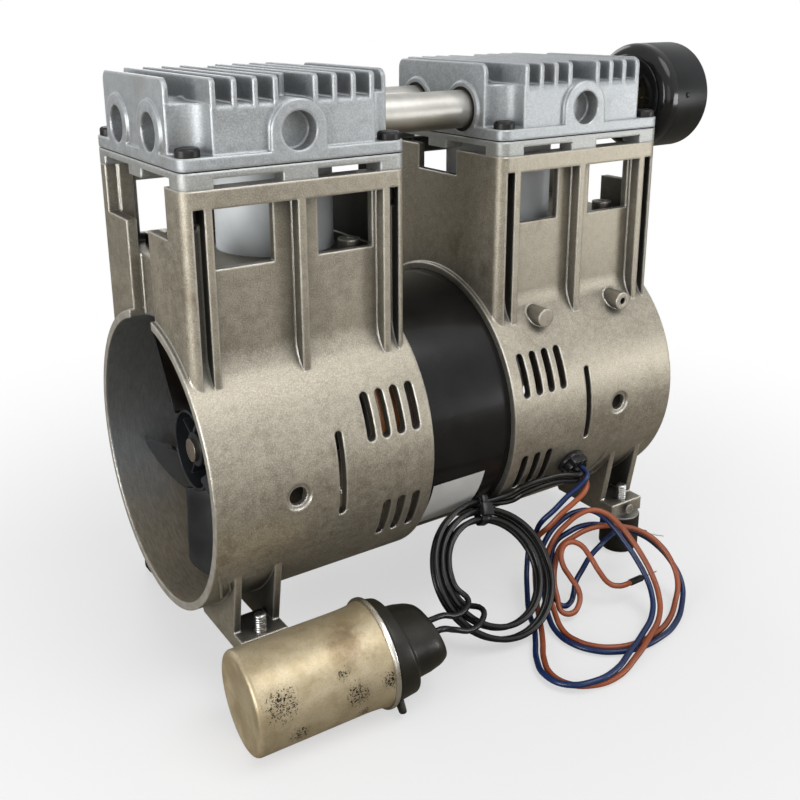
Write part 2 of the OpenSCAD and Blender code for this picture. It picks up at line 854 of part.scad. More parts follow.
module fan() {
    hub_r = fan_hub_d / 2;
    first = 76;
    color([0.12, 0.12, 0.12]) {
        difference() {
            union() {
                difference() {
                    along_x(fan_x0, fan_x1, hub_r);
                    along_x(fan_x0 + 3, fan_x1 + 1, hub_r - 2);
                }
                along_x(fan_x0, fan_x1 - 2, shaft_d / 2 + 3);
                for (a = [30, 120, 210, 300]) rotate([a, 0, 0])
                    translate([fan_x0, shaft_d / 2 + 1, -0.7]) cube([fan_hub_l - 6, hub_r - shaft_d / 2 - 2, 1.4]);
            }
            along_x(fan_x0 - 1, fan_x1 + 1, shaft_d / 2);
        }
        translate([blade_x1 - blade_l, 0, 0]) rotate([0, 90, 0])
            linear_extrude(height = blade_l, twist = -blade_wrap, slices = 8, $fn = 4)
                for (k = [0:fan_blades - 1])
                    rotate(first - blade_wrap + k * 360 / fan_blades)
                        translate([hub_r - 1, -blade_t / 2]) square([fan_d / 2 - hub_r + 1, blade_t]);
    }
}

module fan_left() {
    translate([0, 0, shaft_h]) mirror([1, 0, 0]) fan();
}

module fan_right() {
    translate([0, 0, shaft_h]) fan();
}

// Rod, its bearing and its piston; the crank pin points to +Y on the right
module at_crank() {
    translate([0, crank_e, 0]) children();
}

module rod() {
    disc_z = crown_z - 12;
    color("silver") at_crank() difference() {
        union() {
            along_x(cyl_x - rod_t / 2, cyl_x + rod_t / 2, rod_brg_d / 2 + 5);
            yz_slab(cyl_x - rod_t / 2 + 1.5, cyl_x + rod_t / 2 - 1.5)
                polygon([[-14, 15], [14, 15], [9, 60], [9, disc_z + 1], [-9, disc_z + 1], [-9, 60]]);
            translate([cyl_x, 0, disc_z]) cylinder(h = 7.3, r = piston_r - 1);
        }
        along_x(cyl_x - rod_t, cyl_x + rod_t, rod_brg_d / 2 + 0.02);
        for (s = [-1, 1]) yz_slab(s > 0 ? cyl_x + 2 : cyl_x - rod_t, s > 0 ? cyl_x + rod_t : cyl_x - 2)
            polygon([[-7, 34], [7, 34], [5, 62], [5, disc_z - 5], [-5, disc_z - 5], [-5, 62]]);
        translate([cyl_x, 0, disc_z - 1]) cylinder(h = 20, r = 2.5);
    }
}

module rod_bearing() {
    color("lightgray") at_crank()
        ring_x(cyl_x - rod_brg_w / 2, cyl_x + rod_brg_w / 2, rod_brg_d / 2, crank_r + run_gap);
}

module piston_cup() {
    z = crown_z - 4.7;
    color("ivory") at_crank() translate([cyl_x, 0, z]) difference() {
        cylinder(h = 4, r = piston_r);
        translate([0, 0, 1.5]) cylinder(h = 5, r = piston_r - 1.4);
        translate([0, 0, -1]) cylinder(h = 5, r = 3);
    }
}

module cup_retainer() {
    color("silver") at_crank() translate([cyl_x, 0, crown_z - 3.2]) difference() {
        cylinder(h = 2.6, r = piston_r - 2);
        translate([0, 0, -1]) cylinder(h = 5, r = 2.6);
        translate([0, 0, 1.2]) cylinder(h = 5, r = 5.2);
    }
}

module cup_screw() {
    color("dimgray") at_crank() translate([cyl_x, 0, crown_z - 2]) {
        cylinder(h = 1.8, r = 5, $fn = 6);
        translate([0, 0, -9.9]) cylinder(h = 10, r = 2.48);
    }
}

module rod_left() {
    left_end() rod();
}

module rod_right() {
    right_end() rod();
}

module rod_bearing_left() {
    left_end() rod_bearing();
}

module rod_bearing_right() {
    right_end() rod_bearing();
}

module piston_cup_left() {
    left_end() piston_cup();
}

module piston_cup_right() {
    right_end() piston_cup();
}

module cup_retainer_left() {
    left_end() cup_retainer();
}

module cup_retainer_right() {
    right_end() cup_retainer();
}

module cup_screw_left() {
    left_end() cup_screw();
}

module cup_screw_right() {
    right_end() cup_screw();
}

// Run capacitor, lying on its can's edge and on its rim
module at_can() {
    translate([cap_at[0], cap_at[1], cap_d / 2 * cos(cap_tilt)]) rotate([0, -cap_tilt, cap_yaw]) children();
}

module capacitor_can() {
    color("silver") at_can() translate([cap_l - cap_rim_t, 0, 0]) rotate([0, -90, 0])
        drum(cap_d / 2, cap_l - cap_rim_t, 1);
}

module capacitor_rim() {
    color("gray") at_can() along_x(cap_l - cap_rim_t, cap_l, cap_rim_d / 2);
}

module capacitor_terminals() {
    color("gold") at_can() for (s = [-1, 1]) translate([cap_l, s * 8 - 3.2, -0.5]) cube([9, 6.4, 1]);
}

module capacitor_boot() {
    color([0.16, 0.15, 0.13]) at_can() difference() {
        hull() {
            along_x(cap_l, cap_l + 9, cap_rim_d / 2 - 1, $fn = 32);
            translate([cap_l + boot_l - 8, -1, 2]) rotate([0, 90, 0]) scale([1, 1.2, 1])
                cylinder(h = 8, r = 12, $fn = 32);
        }
        translate([cap_l - 1, -15, -5]) cube([16, 30, 10]);
    }
}

// Leads: a tube swept along points, with rings square to the path
function unit(v) = v / norm(v);
function path_dir(p, i) = unit(p[min(i + 1, len(p) - 1)] - p[max(i - 1, 0)]);
function tube_ring(c, dir, ref, r, n) =
    let (s = unit(cross(ref, dir)), w = cross(dir, s))
    [for (k = [0:n - 1]) c + r * (cos(360 * k / n) * s + sin(360 * k / n) * w)];
function bend(p, i, t) =
    let (a = p[max(i - 1, 0)], b = p[i], c = p[i + 1], d = p[min(i + 2, len(p) - 1)])
    0.5 * (2 * b + t * (c - a) + t * t * (2 * a - 5 * b + 4 * c - d) + t * t * t * (3 * b - a - 3 * c + d));
function smooth(p, n) = [for (i = [0:len(p) - 2], k = [0:n - 1]) bend(p, i, k / n), p[len(p) - 1]];
function least_gap(p, d) =
    min([for (i = [0:len(p) - 1], j = [i + 1:1:len(p) - 1]) if (j - i > 6) norm(p[i] - p[j])]) - d;

module tube(p, r, n, ref) {
    m = len(p);
    rings = [for (i = [0:m - 1]) each tube_ring(p[i], path_dir(p, i), ref, r, n)];
    sides = [
        for (i = [0:m - 2], k = [0:n - 1])
            let (a = i * n + k, b = i * n + (k + 1) % n)
            each [[a, b + n, b], [a, a + n, b + n]]
    ];
    starts = [for (k = [1:n - 2]) [0, k, k + 1]];
    ends = [for (k = [1:n - 2]) [(m - 1) * n, (m - 1) * n + k + 1, (m - 1) * n + k]];
    polyhedron(rings, concat(starts, sides, ends));
}

// From a leaning plane's own x, up-slope and outward distances to the floor's frame
function on_slope(o, tilt, v) =
    o + [v[0], v[1] * cos(tilt) - v[2] * sin(tilt), v[1] * sin(tilt) + v[2] * cos(tilt)];
function slope_out(tilt) = [0, -sin(tilt), cos(tilt)];

// Gland face: right and up on it, and the way out of it
gland_dir = [0, -cos(gland_tilt), -sin(gland_tilt)];
gland_up = [0, -sin(gland_tilt), cos(gland_tilt)];
gland_face = [gland_x, 0, shaft_h] + (shroud_r + gland_out) * gland_dir;
function gland_exit(u, v) = gland_face + [u * lead_step / 2, 0, 0] + v * lead_step / 2 * gland_up;

// Black leads: two layers of turns, wider apart at the lower right than at the tie
function turn_out(a, layer) =
    let (t = (a - tie_turn) / 360, lobe = (layer > 0 ? 7 : 5.5) * (1 - t / 2))
    turn_pitch * (1 - t) + lobe * (1 - cos(a - 140)) / 2;
function black_at(a, layer) =
    let (out = turn_out(a, layer))
    on_slope(coil_at, coil_tilt, [
        coil_mid[0] + (coil_half[0] + out) * cos(a),
        coil_mid[1] + (coil_half[1] + out) * sin(a),
        layer * turn_pitch / 2,
    ]);
function black_end(layer) = tie_turn + 360 * black_turns + (layer > 0 ? 110 : 130);
function black_path(layer) =
    let (
        a0 = tie_turn - tie_past,
        a1 = black_end(layer),
        steps = ceil((a1 - a0) / 15),
        p = [for (i = [0:steps]) black_at(a0 + (a1 - a0) * i / steps, layer)]
    )
    with_ends(p);

module black_coil() {
    for (layer = [1, -1]) {
        p = black_path(layer);
        echo(str("black coil, layer ", layer, ", least gap to itself ", least_gap(p, lead_d)));
        color([0.1, 0.1, 0.1]) tube(p, lead_d / 2, 6, slope_out(coil_tilt));
    }
}

module lead(points, ref) {
    tube(concat([points[0]], smooth([for (i = [1:len(points) - 2]) points[i]], 3), [points[len(points) - 1]]),
        lead_d / 2, 8, ref);
}

module black_leads() {
    for (layer = [1, -1]) {
        s = gland_exit(-1, layer);
        p = black_path(layer);
        d = unit(p[1] - p[0]);
        mids = layer > 0
            ? [[68.3, -80.6, 66.9], [64, -80.2, 67.6], [58, -78, 68.3], [48, -75, 67.5], [37, -71, 64.8], [31, -67, 60.4]]
            : [[68.3, -79, 63], [64, -78.6, 63.6], [58, -76.8, 64.3], [48, -74.5, 63.5], [38, -70.2, 60], [32.5, -66.1, 55.3]];
        color([0.1, 0.1, 0.1])
            lead(concat([s, s + lead_d * gland_dir], mids, [p[0] - lead_d * d, p[0]]), slope_out(coil_tilt));
    }
}

boot_face = cap_l + boot_l;
function from_can(v) = [
    cap_at[0] + (v[0] * cos(cap_tilt) - v[2] * sin(cap_tilt)) * cos(cap_yaw) - v[1] * sin(cap_yaw),
    cap_at[1] + (v[0] * cos(cap_tilt) - v[2] * sin(cap_tilt)) * sin(cap_yaw) + v[1] * cos(cap_yaw),
    cap_d / 2 * cos(cap_tilt) + v[0] * sin(cap_tilt) + v[2] * cos(cap_tilt),
];

module black_tails() {
    for (layer = [1, -1]) {
        p = black_path(layer);
        m = len(p) - 1;
        d = unit(p[m] - p[m - 1]);
        e = from_can([boot_face, layer > 0 ? 3 : -6, 3]);
        out = from_can([boot_face + lead_d, layer > 0 ? 3 : -6, 3]);
        mids = layer > 0
            ? [for (v = [[-19, -7, 5], [-24, -11, 7.5], [-32, -12, 9], [-39, -10, 11]]) on_slope(coil_at, coil_tilt, v)]
            : [for (v = [[-13, -14, 4.5], [-18, -19, 8], [-28, -21, 11], [-38, -18, 14]]) on_slope(coil_at, coil_tilt, v)];
        color([0.1, 0.1, 0.1]) lead(concat([p[m], p[m] + lead_d * d], mids, [out, e]), slope_out(coil_tilt));
    }
}

// Tie round the top of the coil
module cable_tie() {
    outer = turn_out(tie_turn, 1);
    inner = turn_out(tie_turn + 360 * black_turns, -1);
    mid = (outer + inner) / 2;
    w = outer - inner + lead_d + 1;
    h = turn_pitch + lead_d + 0.7;
    wall = 0.9;
    color([0.08, 0.08, 0.08]) translate(coil_at) rotate([coil_tilt, 0, 0])
        translate([coil_mid[0] + (coil_half[0] + mid) * cos(tie_turn),
                   coil_mid[1] + (coil_half[1] + mid) * sin(tie_turn), 0])
            rotate([0, 0, tie_turn]) rotate([90, 0, 0]) {
                linear_extrude(height = 4, center = true) difference() {
                    rounded_rect(w + 2 * wall, h + 2 * wall, 2.1 + wall);
                    rounded_rect(w, h, 2.1);
                }
                translate([-1, h / 2 + wall + 1.9, 0]) cube([7, 4, 6.4], center = true);
            }
}

// Supply leads: the orange wire runs through points chosen by hand, lying on the floor at
// the lower left and rising to the upper right. The fourth number is how far round it, in
// degrees, the blue wire lies: 0 outside the loop, 90 above it, 180 inside, 270 below.
loop_points = [
    [21, -106, 2, 0], [14, -115, 2, 0], [5, -126, 2, 0], [0, -137, 2, 10], [2, -147, 2, 30],
    [11, -154, 2, 65], [25, -156, 2, 105], [42, -152, 4, 150], [58, -146, 6, 180], [75, -137, 7, 180],
    [84, -128, 11, 180], [87, -120, 18, 180], [87, -112, 26, 190], [86, -104, 33, 205],
    [84, -97, 39, 225], [80, -91, 44, 250], [74, -86, 46, 280], [67, -83, 44, 310],
    [59, -82, 40, 340], [51, -81, 33, 350], [45, -82, 23, 330], [38, -92, 12, 300], [33, -103, 5, 345],
    [29, -114, 2, 360], [29, -124, 2, 360], [33, -132, 2, 360], [40, -138, 2, 360], [51, -142, 2, 360],
    [66, -142, 2, 360], [81, -138, 2, 355], [94, -131, 5, 345], [102, -125, 12, 320], [104, -118, 20, 290],
    [103, -109, 27, 270], [98, -101, 32, 265], [91, -94, 34, 270], [83, -89, 35, 290], [73, -85, 34, 325],
    [63, -83, 31, 350], [55, -82, 27, 345], [48, -86, 21, 300],
];

// Where the loops leave the floor they lie on a slope: its upward direction at height z
function slope_up(z) = let (k = min(1, max(0, (z - 4) / 12))) unit([-0.48 * k, -0.9 * k, 1]);
function middle(i) = [for (k = [0:2]) loop_points[i][k]];
function beside(i) =
    let (
        d = path_dir([for (k = [0:len(loop_points) - 1]) middle(k)], i),
        out = unit(cross(d, slope_up(middle(i)[2]))), up = cross(out, d), turn = loop_points[i][3]
    )
    middle(i) + (lead_d + 0.7) * (cos(turn) * out + sin(turn) * up);
function with_ends(p) =
    let (m = len(p) - 1)
    concat([p[0] - lead_d * unit(p[1] - p[0])], p, [p[m] + lead_d * unit(p[m] - p[m - 1])]);
orange_path = with_ends([for (i = [0:len(loop_points) - 1]) middle(i)]);
blue_path = with_ends([for (i = [0:len(loop_points) - 1]) beside(i)]);

wires = [
    // path, colour, place on the gland
    [blue_path, [0.1, 0.18, 0.4], 1],
    [orange_path, [0.7, 0.35, 0.18], -1],
];

lead_mids = [
    [[72.5, -82, 65.5], [67, -82.5, 61.5], [61, -80, 56], [54, -77, 48], [48, -73, 40], [47, -70, 32], [44, -69, 25],
     [40, -72, 16], [31, -83, 8], [23, -94, 4]],
    [[72.5, -82, 61], [68.5, -84.5, 58], [62, -84, 53.5], [55, -82, 48], [50, -79, 41], [44, -73, 29], [42, -76, 18],
     [34, -87, 7], [27, -97, 3]],
];
tail_mids = [
    [[44, -86, 14], [43, -90, 9], [41, -95, 6], [42, -99, 4], [48, -99, 4], [52, -97, 7], [57, -93, 10],
     [64, -91, 15], [70, -90, 20], [78, -90, 25], [85, -88, 26], [93, -87, 27]],
    [[42, -92, 15], [39, -98, 10], [37, -104, 5], [41, -107, 4], [47, -106, 6], [51, -102, 11],
     [50, -96, 17], [48, -92, 23], [50, -88, 28], [55, -87, 32], [61, -90, 31], [64, -96, 25],
     [65, -102, 19], [68, -108, 13], [72, -111, 12]],
];
tail_ends = [[[101, -88, 26], [104, -89, 25]], [[76, -112, 12], [79, -112, 12]]];

module supply_coil() {
    for (w = wires) {
        echo(str("supply coil, place ", w[2], ", least gap to itself ", least_gap(w[0], lead_d)));
        color(w[1]) tube(w[0], lead_d / 2, 6, [0.2, 0.3, 1]);
    }
}

module supply_leads() {
    for (i = [0, 1]) {
        s = gland_exit(1, wires[i][2]);
        p = wires[i][0];
        d = unit(p[1] - p[0]);
        color(wires[i][1])
            lead(concat([s, s + lead_d * gland_dir], lead_mids[i], [p[0] - lead_d * d, p[0]]), [0.6, -0.5, 0.6]);
    }
}

module supply_tails() {
    for (i = [0, 1]) {
        p = wires[i][0];
        m = len(p) - 1;
        d = unit(p[m] - p[m - 1]);
        color(wires[i][1])
            lead(concat([p[m], p[m] + lead_d * d], tail_mids[i], tail_ends[i]), [0.3, -0.6, 0.74]);
    }
}

module wire_tips() {
    for (i = [0, 1]) {
        a = tail_ends[i][1];
        d = unit(a - tail_ends[i][0]);
        color([0.1, 0.1, 0.1]) tube([a, a + 9 * d], lead_d / 2 + 0.3, 8, [0, 0, 1]);
        color("silver") tube([a + 9 * d, a + 21 * d], 0.5, 6, [0, 0, 1]);
    }
}

housing_left();
housing_right();
motor_shell();
stator_core();
stator_windings();
bearing_left();
bearing_right();
through_bolts();
cylinder_left();
cylinder_right();
valve_plate_left();
valve_plate_right();
reeds_left();
reeds_right();
head_gasket_left();
head_gasket_right();
head_cover_left();
head_cover_right();
head_screws_left();
head_screws_right();
crossover_tube_front();
crossover_tube_back();
tube_seals();
filter_nipple();
filter_base();
filter_element();
filter_cover();
rubber_feet();
foot_washers();
foot_studs();
cord_gland();
shaft();
rotor_core();
eccentric_left();
eccentric_right();
fan_left();
fan_right();
rod_left();
rod_right();
rod_bearing_left();
rod_bearing_right();
piston_cup_left();
piston_cup_right();
cup_retainer_left();
cup_retainer_right();
cup_screw_left();
cup_screw_right();
capacitor_can();
capacitor_rim();
capacitor_terminals();
capacitor_boot();
cable_tie();
black_leads();
black_coil();
black_tails();
supply_leads();
supply_coil();
supply_tails();
wire_tips();
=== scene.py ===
import math

import bpy
from mathutils import Matrix, Vector


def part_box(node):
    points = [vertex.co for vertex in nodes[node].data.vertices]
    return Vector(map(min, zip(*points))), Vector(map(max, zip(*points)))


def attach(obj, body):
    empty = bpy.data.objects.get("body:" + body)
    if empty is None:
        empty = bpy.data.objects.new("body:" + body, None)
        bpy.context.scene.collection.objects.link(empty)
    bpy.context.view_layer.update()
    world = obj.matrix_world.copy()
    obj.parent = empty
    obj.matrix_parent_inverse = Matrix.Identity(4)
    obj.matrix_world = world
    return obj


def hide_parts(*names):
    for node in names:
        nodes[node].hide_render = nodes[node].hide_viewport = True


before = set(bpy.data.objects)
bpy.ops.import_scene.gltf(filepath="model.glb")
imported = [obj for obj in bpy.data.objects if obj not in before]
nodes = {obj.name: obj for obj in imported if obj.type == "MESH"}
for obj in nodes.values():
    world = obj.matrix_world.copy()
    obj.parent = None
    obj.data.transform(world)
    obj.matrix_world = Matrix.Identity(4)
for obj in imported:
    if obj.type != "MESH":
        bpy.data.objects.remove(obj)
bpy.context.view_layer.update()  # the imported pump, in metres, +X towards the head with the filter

mm = 0.001  # sizes and places below are in millimetres, and the helpers turn them into metres
shaftHeight = 100
print("pump loaded:", len(nodes), "CAD nodes")


def metres(sizes):
    return tuple(v * mm for v in sizes)


# How the mouse and the tool shelf are stood in for: one active piece, all else let go
def letGo():
    if bpy.context.object and bpy.context.object.mode != "OBJECT":
        bpy.ops.object.mode_set(mode="OBJECT")
    bpy.ops.object.select_all(action="DESELECT")


def takeUp(piece):
    letGo()
    bpy.context.view_layer.objects.active = piece
    piece.select_set(True)
    return piece


def nameNew(name):
    piece = bpy.context.object
    piece.name = name
    piece.data.name = name
    takeUp(piece)
    bpy.ops.object.transform_apply(location=True, rotation=True, scale=True)
    return piece


def addDrum(name, radius, depth, at=(0, 0, 0), along="Z", vertices=64):
    letGo()
    turn = {"X": (0, math.pi / 2, 0), "Y": (math.pi / 2, 0, 0), "Z": (0, 0, 0)}[along]
    bpy.ops.mesh.primitive_cylinder_add(
        vertices=vertices, radius=radius * mm, depth=depth * mm, location=metres(at), rotation=turn)
    return nameNew(name)


def addBlock(name, size, at=(0, 0, 0)):
    letGo()
    bpy.ops.mesh.primitive_cube_add(size=1, location=metres(at), scale=metres(size))
    return nameNew(name)


def editFaces(piece, wanted):
    takeUp(piece)
    bpy.context.tool_settings.mesh_select_mode = (False, False, True)
    mesh = piece.data
    for part in (*mesh.vertices, *mesh.edges):
        part.select = False
    for face in mesh.polygons:
        face.select = bool(wanted(face.center, face.normal))
    bpy.ops.object.mode_set(mode="EDIT")


def editEdges(piece, wanted):
    takeUp(piece)
    bpy.context.tool_settings.mesh_select_mode = (False, True, False)
    mesh = piece.data
    for part in (*mesh.vertices, *mesh.polygons):
        part.select = False
    for edge in mesh.edges:
        a, b = (mesh.vertices[i].co for i in edge.vertices)
        edge.select = bool(wanted(a, b))
    bpy.ops.object.mode_set(mode="EDIT")


def doneEditing():
    bpy.ops.object.mode_set(mode="OBJECT")


# Which faces to take: those that look along an axis, at its two ends, or all of them
def facing(side, least=0.9):
    sign, axis = (-1 if side[0] == "-" else 1), "XYZ".index(side[-1])
    return lambda centre, normal: sign * normal[axis] > least


def endFaces(centre, normal):
    return abs(normal.z) > 0.9


def allFaces(centre, normal):
    return True


def push(x=0, y=0, z=0):
    bpy.ops.transform.translate(value=metres((x, y, z)))


def extrude(x=0, y=0, z=0):
    bpy.ops.mesh.extrude_region_move(TRANSFORM_OT_translate={"value": metres((x, y, z))})


# Each step is a border left round the face, and how far the rest moves along the axis
def stepFace(piece, side, *steps, least=0.9):
    editFaces(piece, facing(side, least))
    for border, move in steps:
        bpy.ops.mesh.inset(thickness=border * mm)
        push(**{side[-1].lower(): move})
    doneEditing()


def roundRim(piece, side, radius, segments):
    editFaces(piece, facing(side))
    bpy.ops.mesh.bevel(offset=radius * mm, segments=segments, affect="EDGES")
    doneEditing()


def modify(piece, kind, **settings):
    takeUp(piece)
    modifier = piece.modifiers.new(kind.lower(), kind)
    for key, value in settings.items():
        setattr(modifier, key, value)
    bpy.ops.object.modifier_apply(modifier=modifier.name)
    return piece


def smoothOff(piece, angle=38):
    takeUp(piece)
    bpy.ops.object.shade_smooth_by_angle(angle=math.radians(angle))
    return piece


def roundEdges(piece, width, segments=3, angle=35):
    modify(piece, "BEVEL", width=width * mm, segments=segments, limit_method="ANGLE", angle_limit=math.radians(angle))
    return smoothOff(piece)


def cutAway(piece, tool):
    modify(piece, "BOOLEAN", operation="DIFFERENCE", solver="EXACT", object=tool)
    bpy.data.objects.remove(tool)
    return piece


def joinUp(piece, *others):
    takeUp(piece)
    for other in others:
        other.select_set(True)
    bpy.ops.object.join()
    return takeUp(piece)


def turnMesh(piece, degrees, axis):
    piece.data.transform(Matrix.Rotation(math.radians(degrees), 4, axis))
    return piece


def moveMesh(piece, x=0, y=0, z=0):
    piece.data.transform(Matrix.Translation(metres((x, y, z))))
    return piece


def copyPiece(piece, name):
    twin = piece.copy()
    twin.data = piece.data.copy()
    twin.name = name
    bpy.context.scene.collection.objects.link(twin)
    return twin


# Last thing for a piece: its finish, the CAD nodes that it stands for and the body that it rides on
def fitOut(piece, finish, slot, body, *stoodFor):
    piece.data.materials.append(finishes[finish])
    if stoodFor:
        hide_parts(*stoodFor)
    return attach(piece, body)


# Shader maths: an output that can stand in a sum, and the shading that it belongs to
class Wire:
    def __init__(self, shading, socket):
        self.shading = shading
        self.socket = socket

    def __add__(self, other):
        return self.shading.maths("ADD", self, other)

    def __radd__(self, other):
        return self.shading.maths("ADD", other, self)

    def __sub__(self, other):
        return self.shading.maths("SUBTRACT", self, other)

    def __rsub__(self, other):
        return self.shading.maths("SUBTRACT", other, self)

    def __mul__(self, other):
        return self.shading.maths("MULTIPLY", self, other)

    def __rmul__(self, other):
        return self.shading.maths("MULTIPLY", other, self)


class Shading:
    def __init__(self, owner):
        owner.use_nodes = True
        self.tree = owner.node_tree

    def give(self, node, key, value):
        socket = node.inputs[key]
        if isinstance(value, Wire):
            self.tree.links.new(value.socket, socket)
        elif isinstance(value, (tuple, list)) and socket.type == "RGBA":
            socket.default_value = (*value[:3], 1)
        else:
            socket.default_value = value

    def node(self, kind, settings=None, values=None, output=0):
        made = self.tree.nodes.new(kind)
        for key, value in (settings or {}).items():
            setattr(made, key, value)
        for key, value in (values or {}).items():
            self.give(made, key, value)
        return Wire(self, made.outputs[output])

    def maths(self, operation, *values):
        return self.node("ShaderNodeMath", {"operation": operation}, dict(enumerate(values)))

    def vector(self, operation, *values, output="Value"):
        return self.node("ShaderNodeVectorMath", {"operation": operation}, dict(enumerate(values)), output)

    def mixShader(self, factor, first, second):
        return self.node("ShaderNodeMixShader", None, {0: factor, 1: first, 2: second})


class Finish(Shading):
    def __init__(self, name, **fixed):
        self.material = bpy.data.materials.new(name)
        super().__init__(self.material)
        self.shader = self.tree.nodes["Principled BSDF"]
        self.place = self.node("ShaderNodeTexCoord", output="Object")
        self.set(**fixed)

    def set(self, **values):
        for label, value in values.items():
            self.give(self.shader, label.replace("_", " "), value)
        return self.material

    def noise(self, scale, detail=3, rough=0.5, stretch=None):
        at = self.place
        if stretch:
            at = self.node("ShaderNodeMapping", None, {"Vector": at, "Scale": stretch})
        values = {"Vector": at, "Scale": scale, "Detail": detail, "Roughness": rough}
        return self.node("ShaderNodeTexNoise", None, values)

    def ramp(self, value, low, high):
        return self.node("ShaderNodeMapRange", {"interpolation_type": "SMOOTHSTEP"}, {0: value, 1: low, 2: high})

    def mix(self, factor, first, second):
        return self.node("ShaderNodeMix", {"data_type": "RGBA"}, {0: factor, 6: first, 7: second}, 2)

    def along(self, axis):
        return self.node("ShaderNodeSeparateXYZ", None, {0: self.place}, "XYZ".index(axis))

    def rounded(self, radius):
        return self.node("ShaderNodeBevel", {"samples": 4}, {"Radius": radius * mm})

    # 1 on the sharp edges and 0 on the flats, from how far the rounded normal leans away: the mask for edge wear and
    # painted edge highlights
    def wornAndLitEdges(self, soft):
        flat = self.node("ShaderNodeNewGeometry", output="Normal")
        return self.ramp(1 - self.vector("DOT_PRODUCT", soft, flat), 0.02, 0.16)

    # 1 deep in the corners and 0 in the open: the mask for painted shade in recesses
    def paintedShadeMask(self, reach, low, high):
        clear = self.node("ShaderNodeAmbientOcclusion", {"samples": 6}, {"Distance": reach * mm}, "AO")
        return 1 - self.ramp(clear, low, high)

    def bump(self, height, depth, strength, soft):
        values = {"Height": height, "Distance": depth * mm, "Strength": strength, "Normal": soft}
        return self.node("ShaderNodeBump", None, values)


# Blasted or tumbled die castings: mottled, with painted shade in the recesses, and edges lighter from wear and a
# painted highlight
castLook = {
    "dark": (0.30, 0.268, 0.207), "light": (0.415, 0.375, 0.297), "bright": (0.78, 0.75, 0.68),
    "shadeColour": (0.05, 0.054, 0.056), "stain": (0.14, 0.105, 0.06), "metallic": 0.8, "rough": 0.47,
    "grain": 1500, "mottle": 260, "flow": 34, "blots": 30, "depth": 0.3,
    "edge": 1.6, "edgeWearAndHighlight": 0.95, "reach": 30, "shadeAmount": 0.85,
}
headLook = {
    **castLook, "dark": (0.35, 0.37, 0.38), "light": (0.46, 0.49, 0.51), "bright": (0.80, 0.83, 0.85),
    "shadeColour": (0.12, 0.12, 0.12), "stain": (0.26, 0.235, 0.19), "metallic": 0.62,
    "grain": 1300, "mottle": 240, "edge": 1.8, "edgeWearAndHighlight": 0.8, "reach": 18, "shadeAmount": 0.4,
}
plateLook = {**headLook, "dark": (0.34, 0.345, 0.325), "light": (0.44, 0.45, 0.43)}

# Where a cutter has been over a housing, and the bare bore of the shroud, lighter and warmer at its bottom with a
# painted warm reflection
machined = {
    "rim": 142.55, "top": 240.38, "fade": 0.12, "dull": (0.66, 0.63, 0.57), "bright": (0.82, 0.80, 0.75), "rough": 0.34,
    "bore": (72.8, 71.8), "boreFrom": (96, 99), "reflectionLine": (85, 30),
    "bare": ((0.27, 0.285, 0.295), (0.38, 0.39, 0.395)), "warmReflection": ((0.36, 0.31, 0.235), (0.50, 0.44, 0.35)),
}


def castSurface(f, look):
    grain = f.noise(look["grain"], 2, 0.6)
    mottle = f.noise(look["mottle"], 5, 0.62)
    flow = f.noise(look["flow"], 4, 0.6, stretch=(1, 1, 0.35))
    blots = f.noise(look["blots"], 6, 0.7)
    soft = f.rounded(look["edge"])
    edge = f.wornAndLitEdges(soft)
    tone = f.ramp(mottle * 0.65 + flow * 0.35, 0.36, 0.66)
    colour = f.mix(tone, look["dark"], look["light"])
    colour = f.mix(f.ramp(grain, 0.35, 0.75) * 0.35, colour, look["bright"])
    colour = f.mix(f.ramp(blots, 0.56, 0.72) * 0.4, colour, look["stain"])
    # painted shade: corners and recesses darkened towards the shade colour
    colour = f.mix(f.paintedShadeMask(look["reach"], 0.25, 0.95) * look["shadeAmount"], colour, look["shadeColour"])
    # edges lightened: bare worn metal, and a painted highlight
    colour = f.mix(edge * look["edgeWearAndHighlight"], colour, look["bright"])
    rough = look["rough"] + (tone - 0.5) * 0.1 - edge * 0.14
    return colour, rough, f.bump(grain * 0.5 + mottle * 0.5, look["depth"], 0.7, soft)


def castFinish(name, look):
    f = Finish(name, Metallic=look["metallic"])
    colour, rough, normal = castSurface(f, look)
    return f.set(Base_Color=colour, Roughness=rough, Normal=normal)


def housingFinish(name, look, cut):
    f = Finish(name, Metallic=look["metallic"])
    colour, rough, normal = castSurface(f, look)
    out = f.maths("ABSOLUTE", f.along("X"))
    up = f.along("Z")
    rim = f.ramp(out, (cut["rim"] - cut["fade"]) * mm, cut["rim"] * mm)
    top = f.ramp(up, (cut["top"] - cut["fade"]) * mm, cut["top"] * mm)
    face = f.maths("MAXIMUM", rim, top)
    swirl = f.noise(900, 2, 0.5, stretch=(1, 0.2, 0.2))  # the cutter's marks run round the shaft
    flat = f.vector("MULTIPLY", f.place, (0, 1, 1), output="Vector")
    fromShaft = f.vector("DISTANCE", flat, (0, 0, shaftHeight * mm))
    inner = f.ramp(fromShaft, *metres(cut["bore"])) * f.ramp(out, *metres(cut["boreFrom"])) * (1 - rim)
    bare = f.mix(f.ramp(swirl, 0.1, 0.9), *cut["bare"])
    # painted reflection: below a wavy line the bore turns lighter and warmer
    warmReflection = f.mix(f.ramp(swirl, 0.2, 0.8), *cut["warmReflection"])
    wavy = up + (f.noise(40, 4, 0.6) - 0.5) * 0.05
    bare = f.mix(f.ramp(wavy, *metres(cut["reflectionLine"])), bare, warmReflection)
    bright = f.mix(f.ramp(swirl, 0.3, 0.7), cut["dull"], cut["bright"])
    return f.set(Base_Color=f.mix(face, f.mix(inner, colour, bare), bright),
                 Roughness=rough * (1 - face) + cut["rough"] * face, Normal=normal)


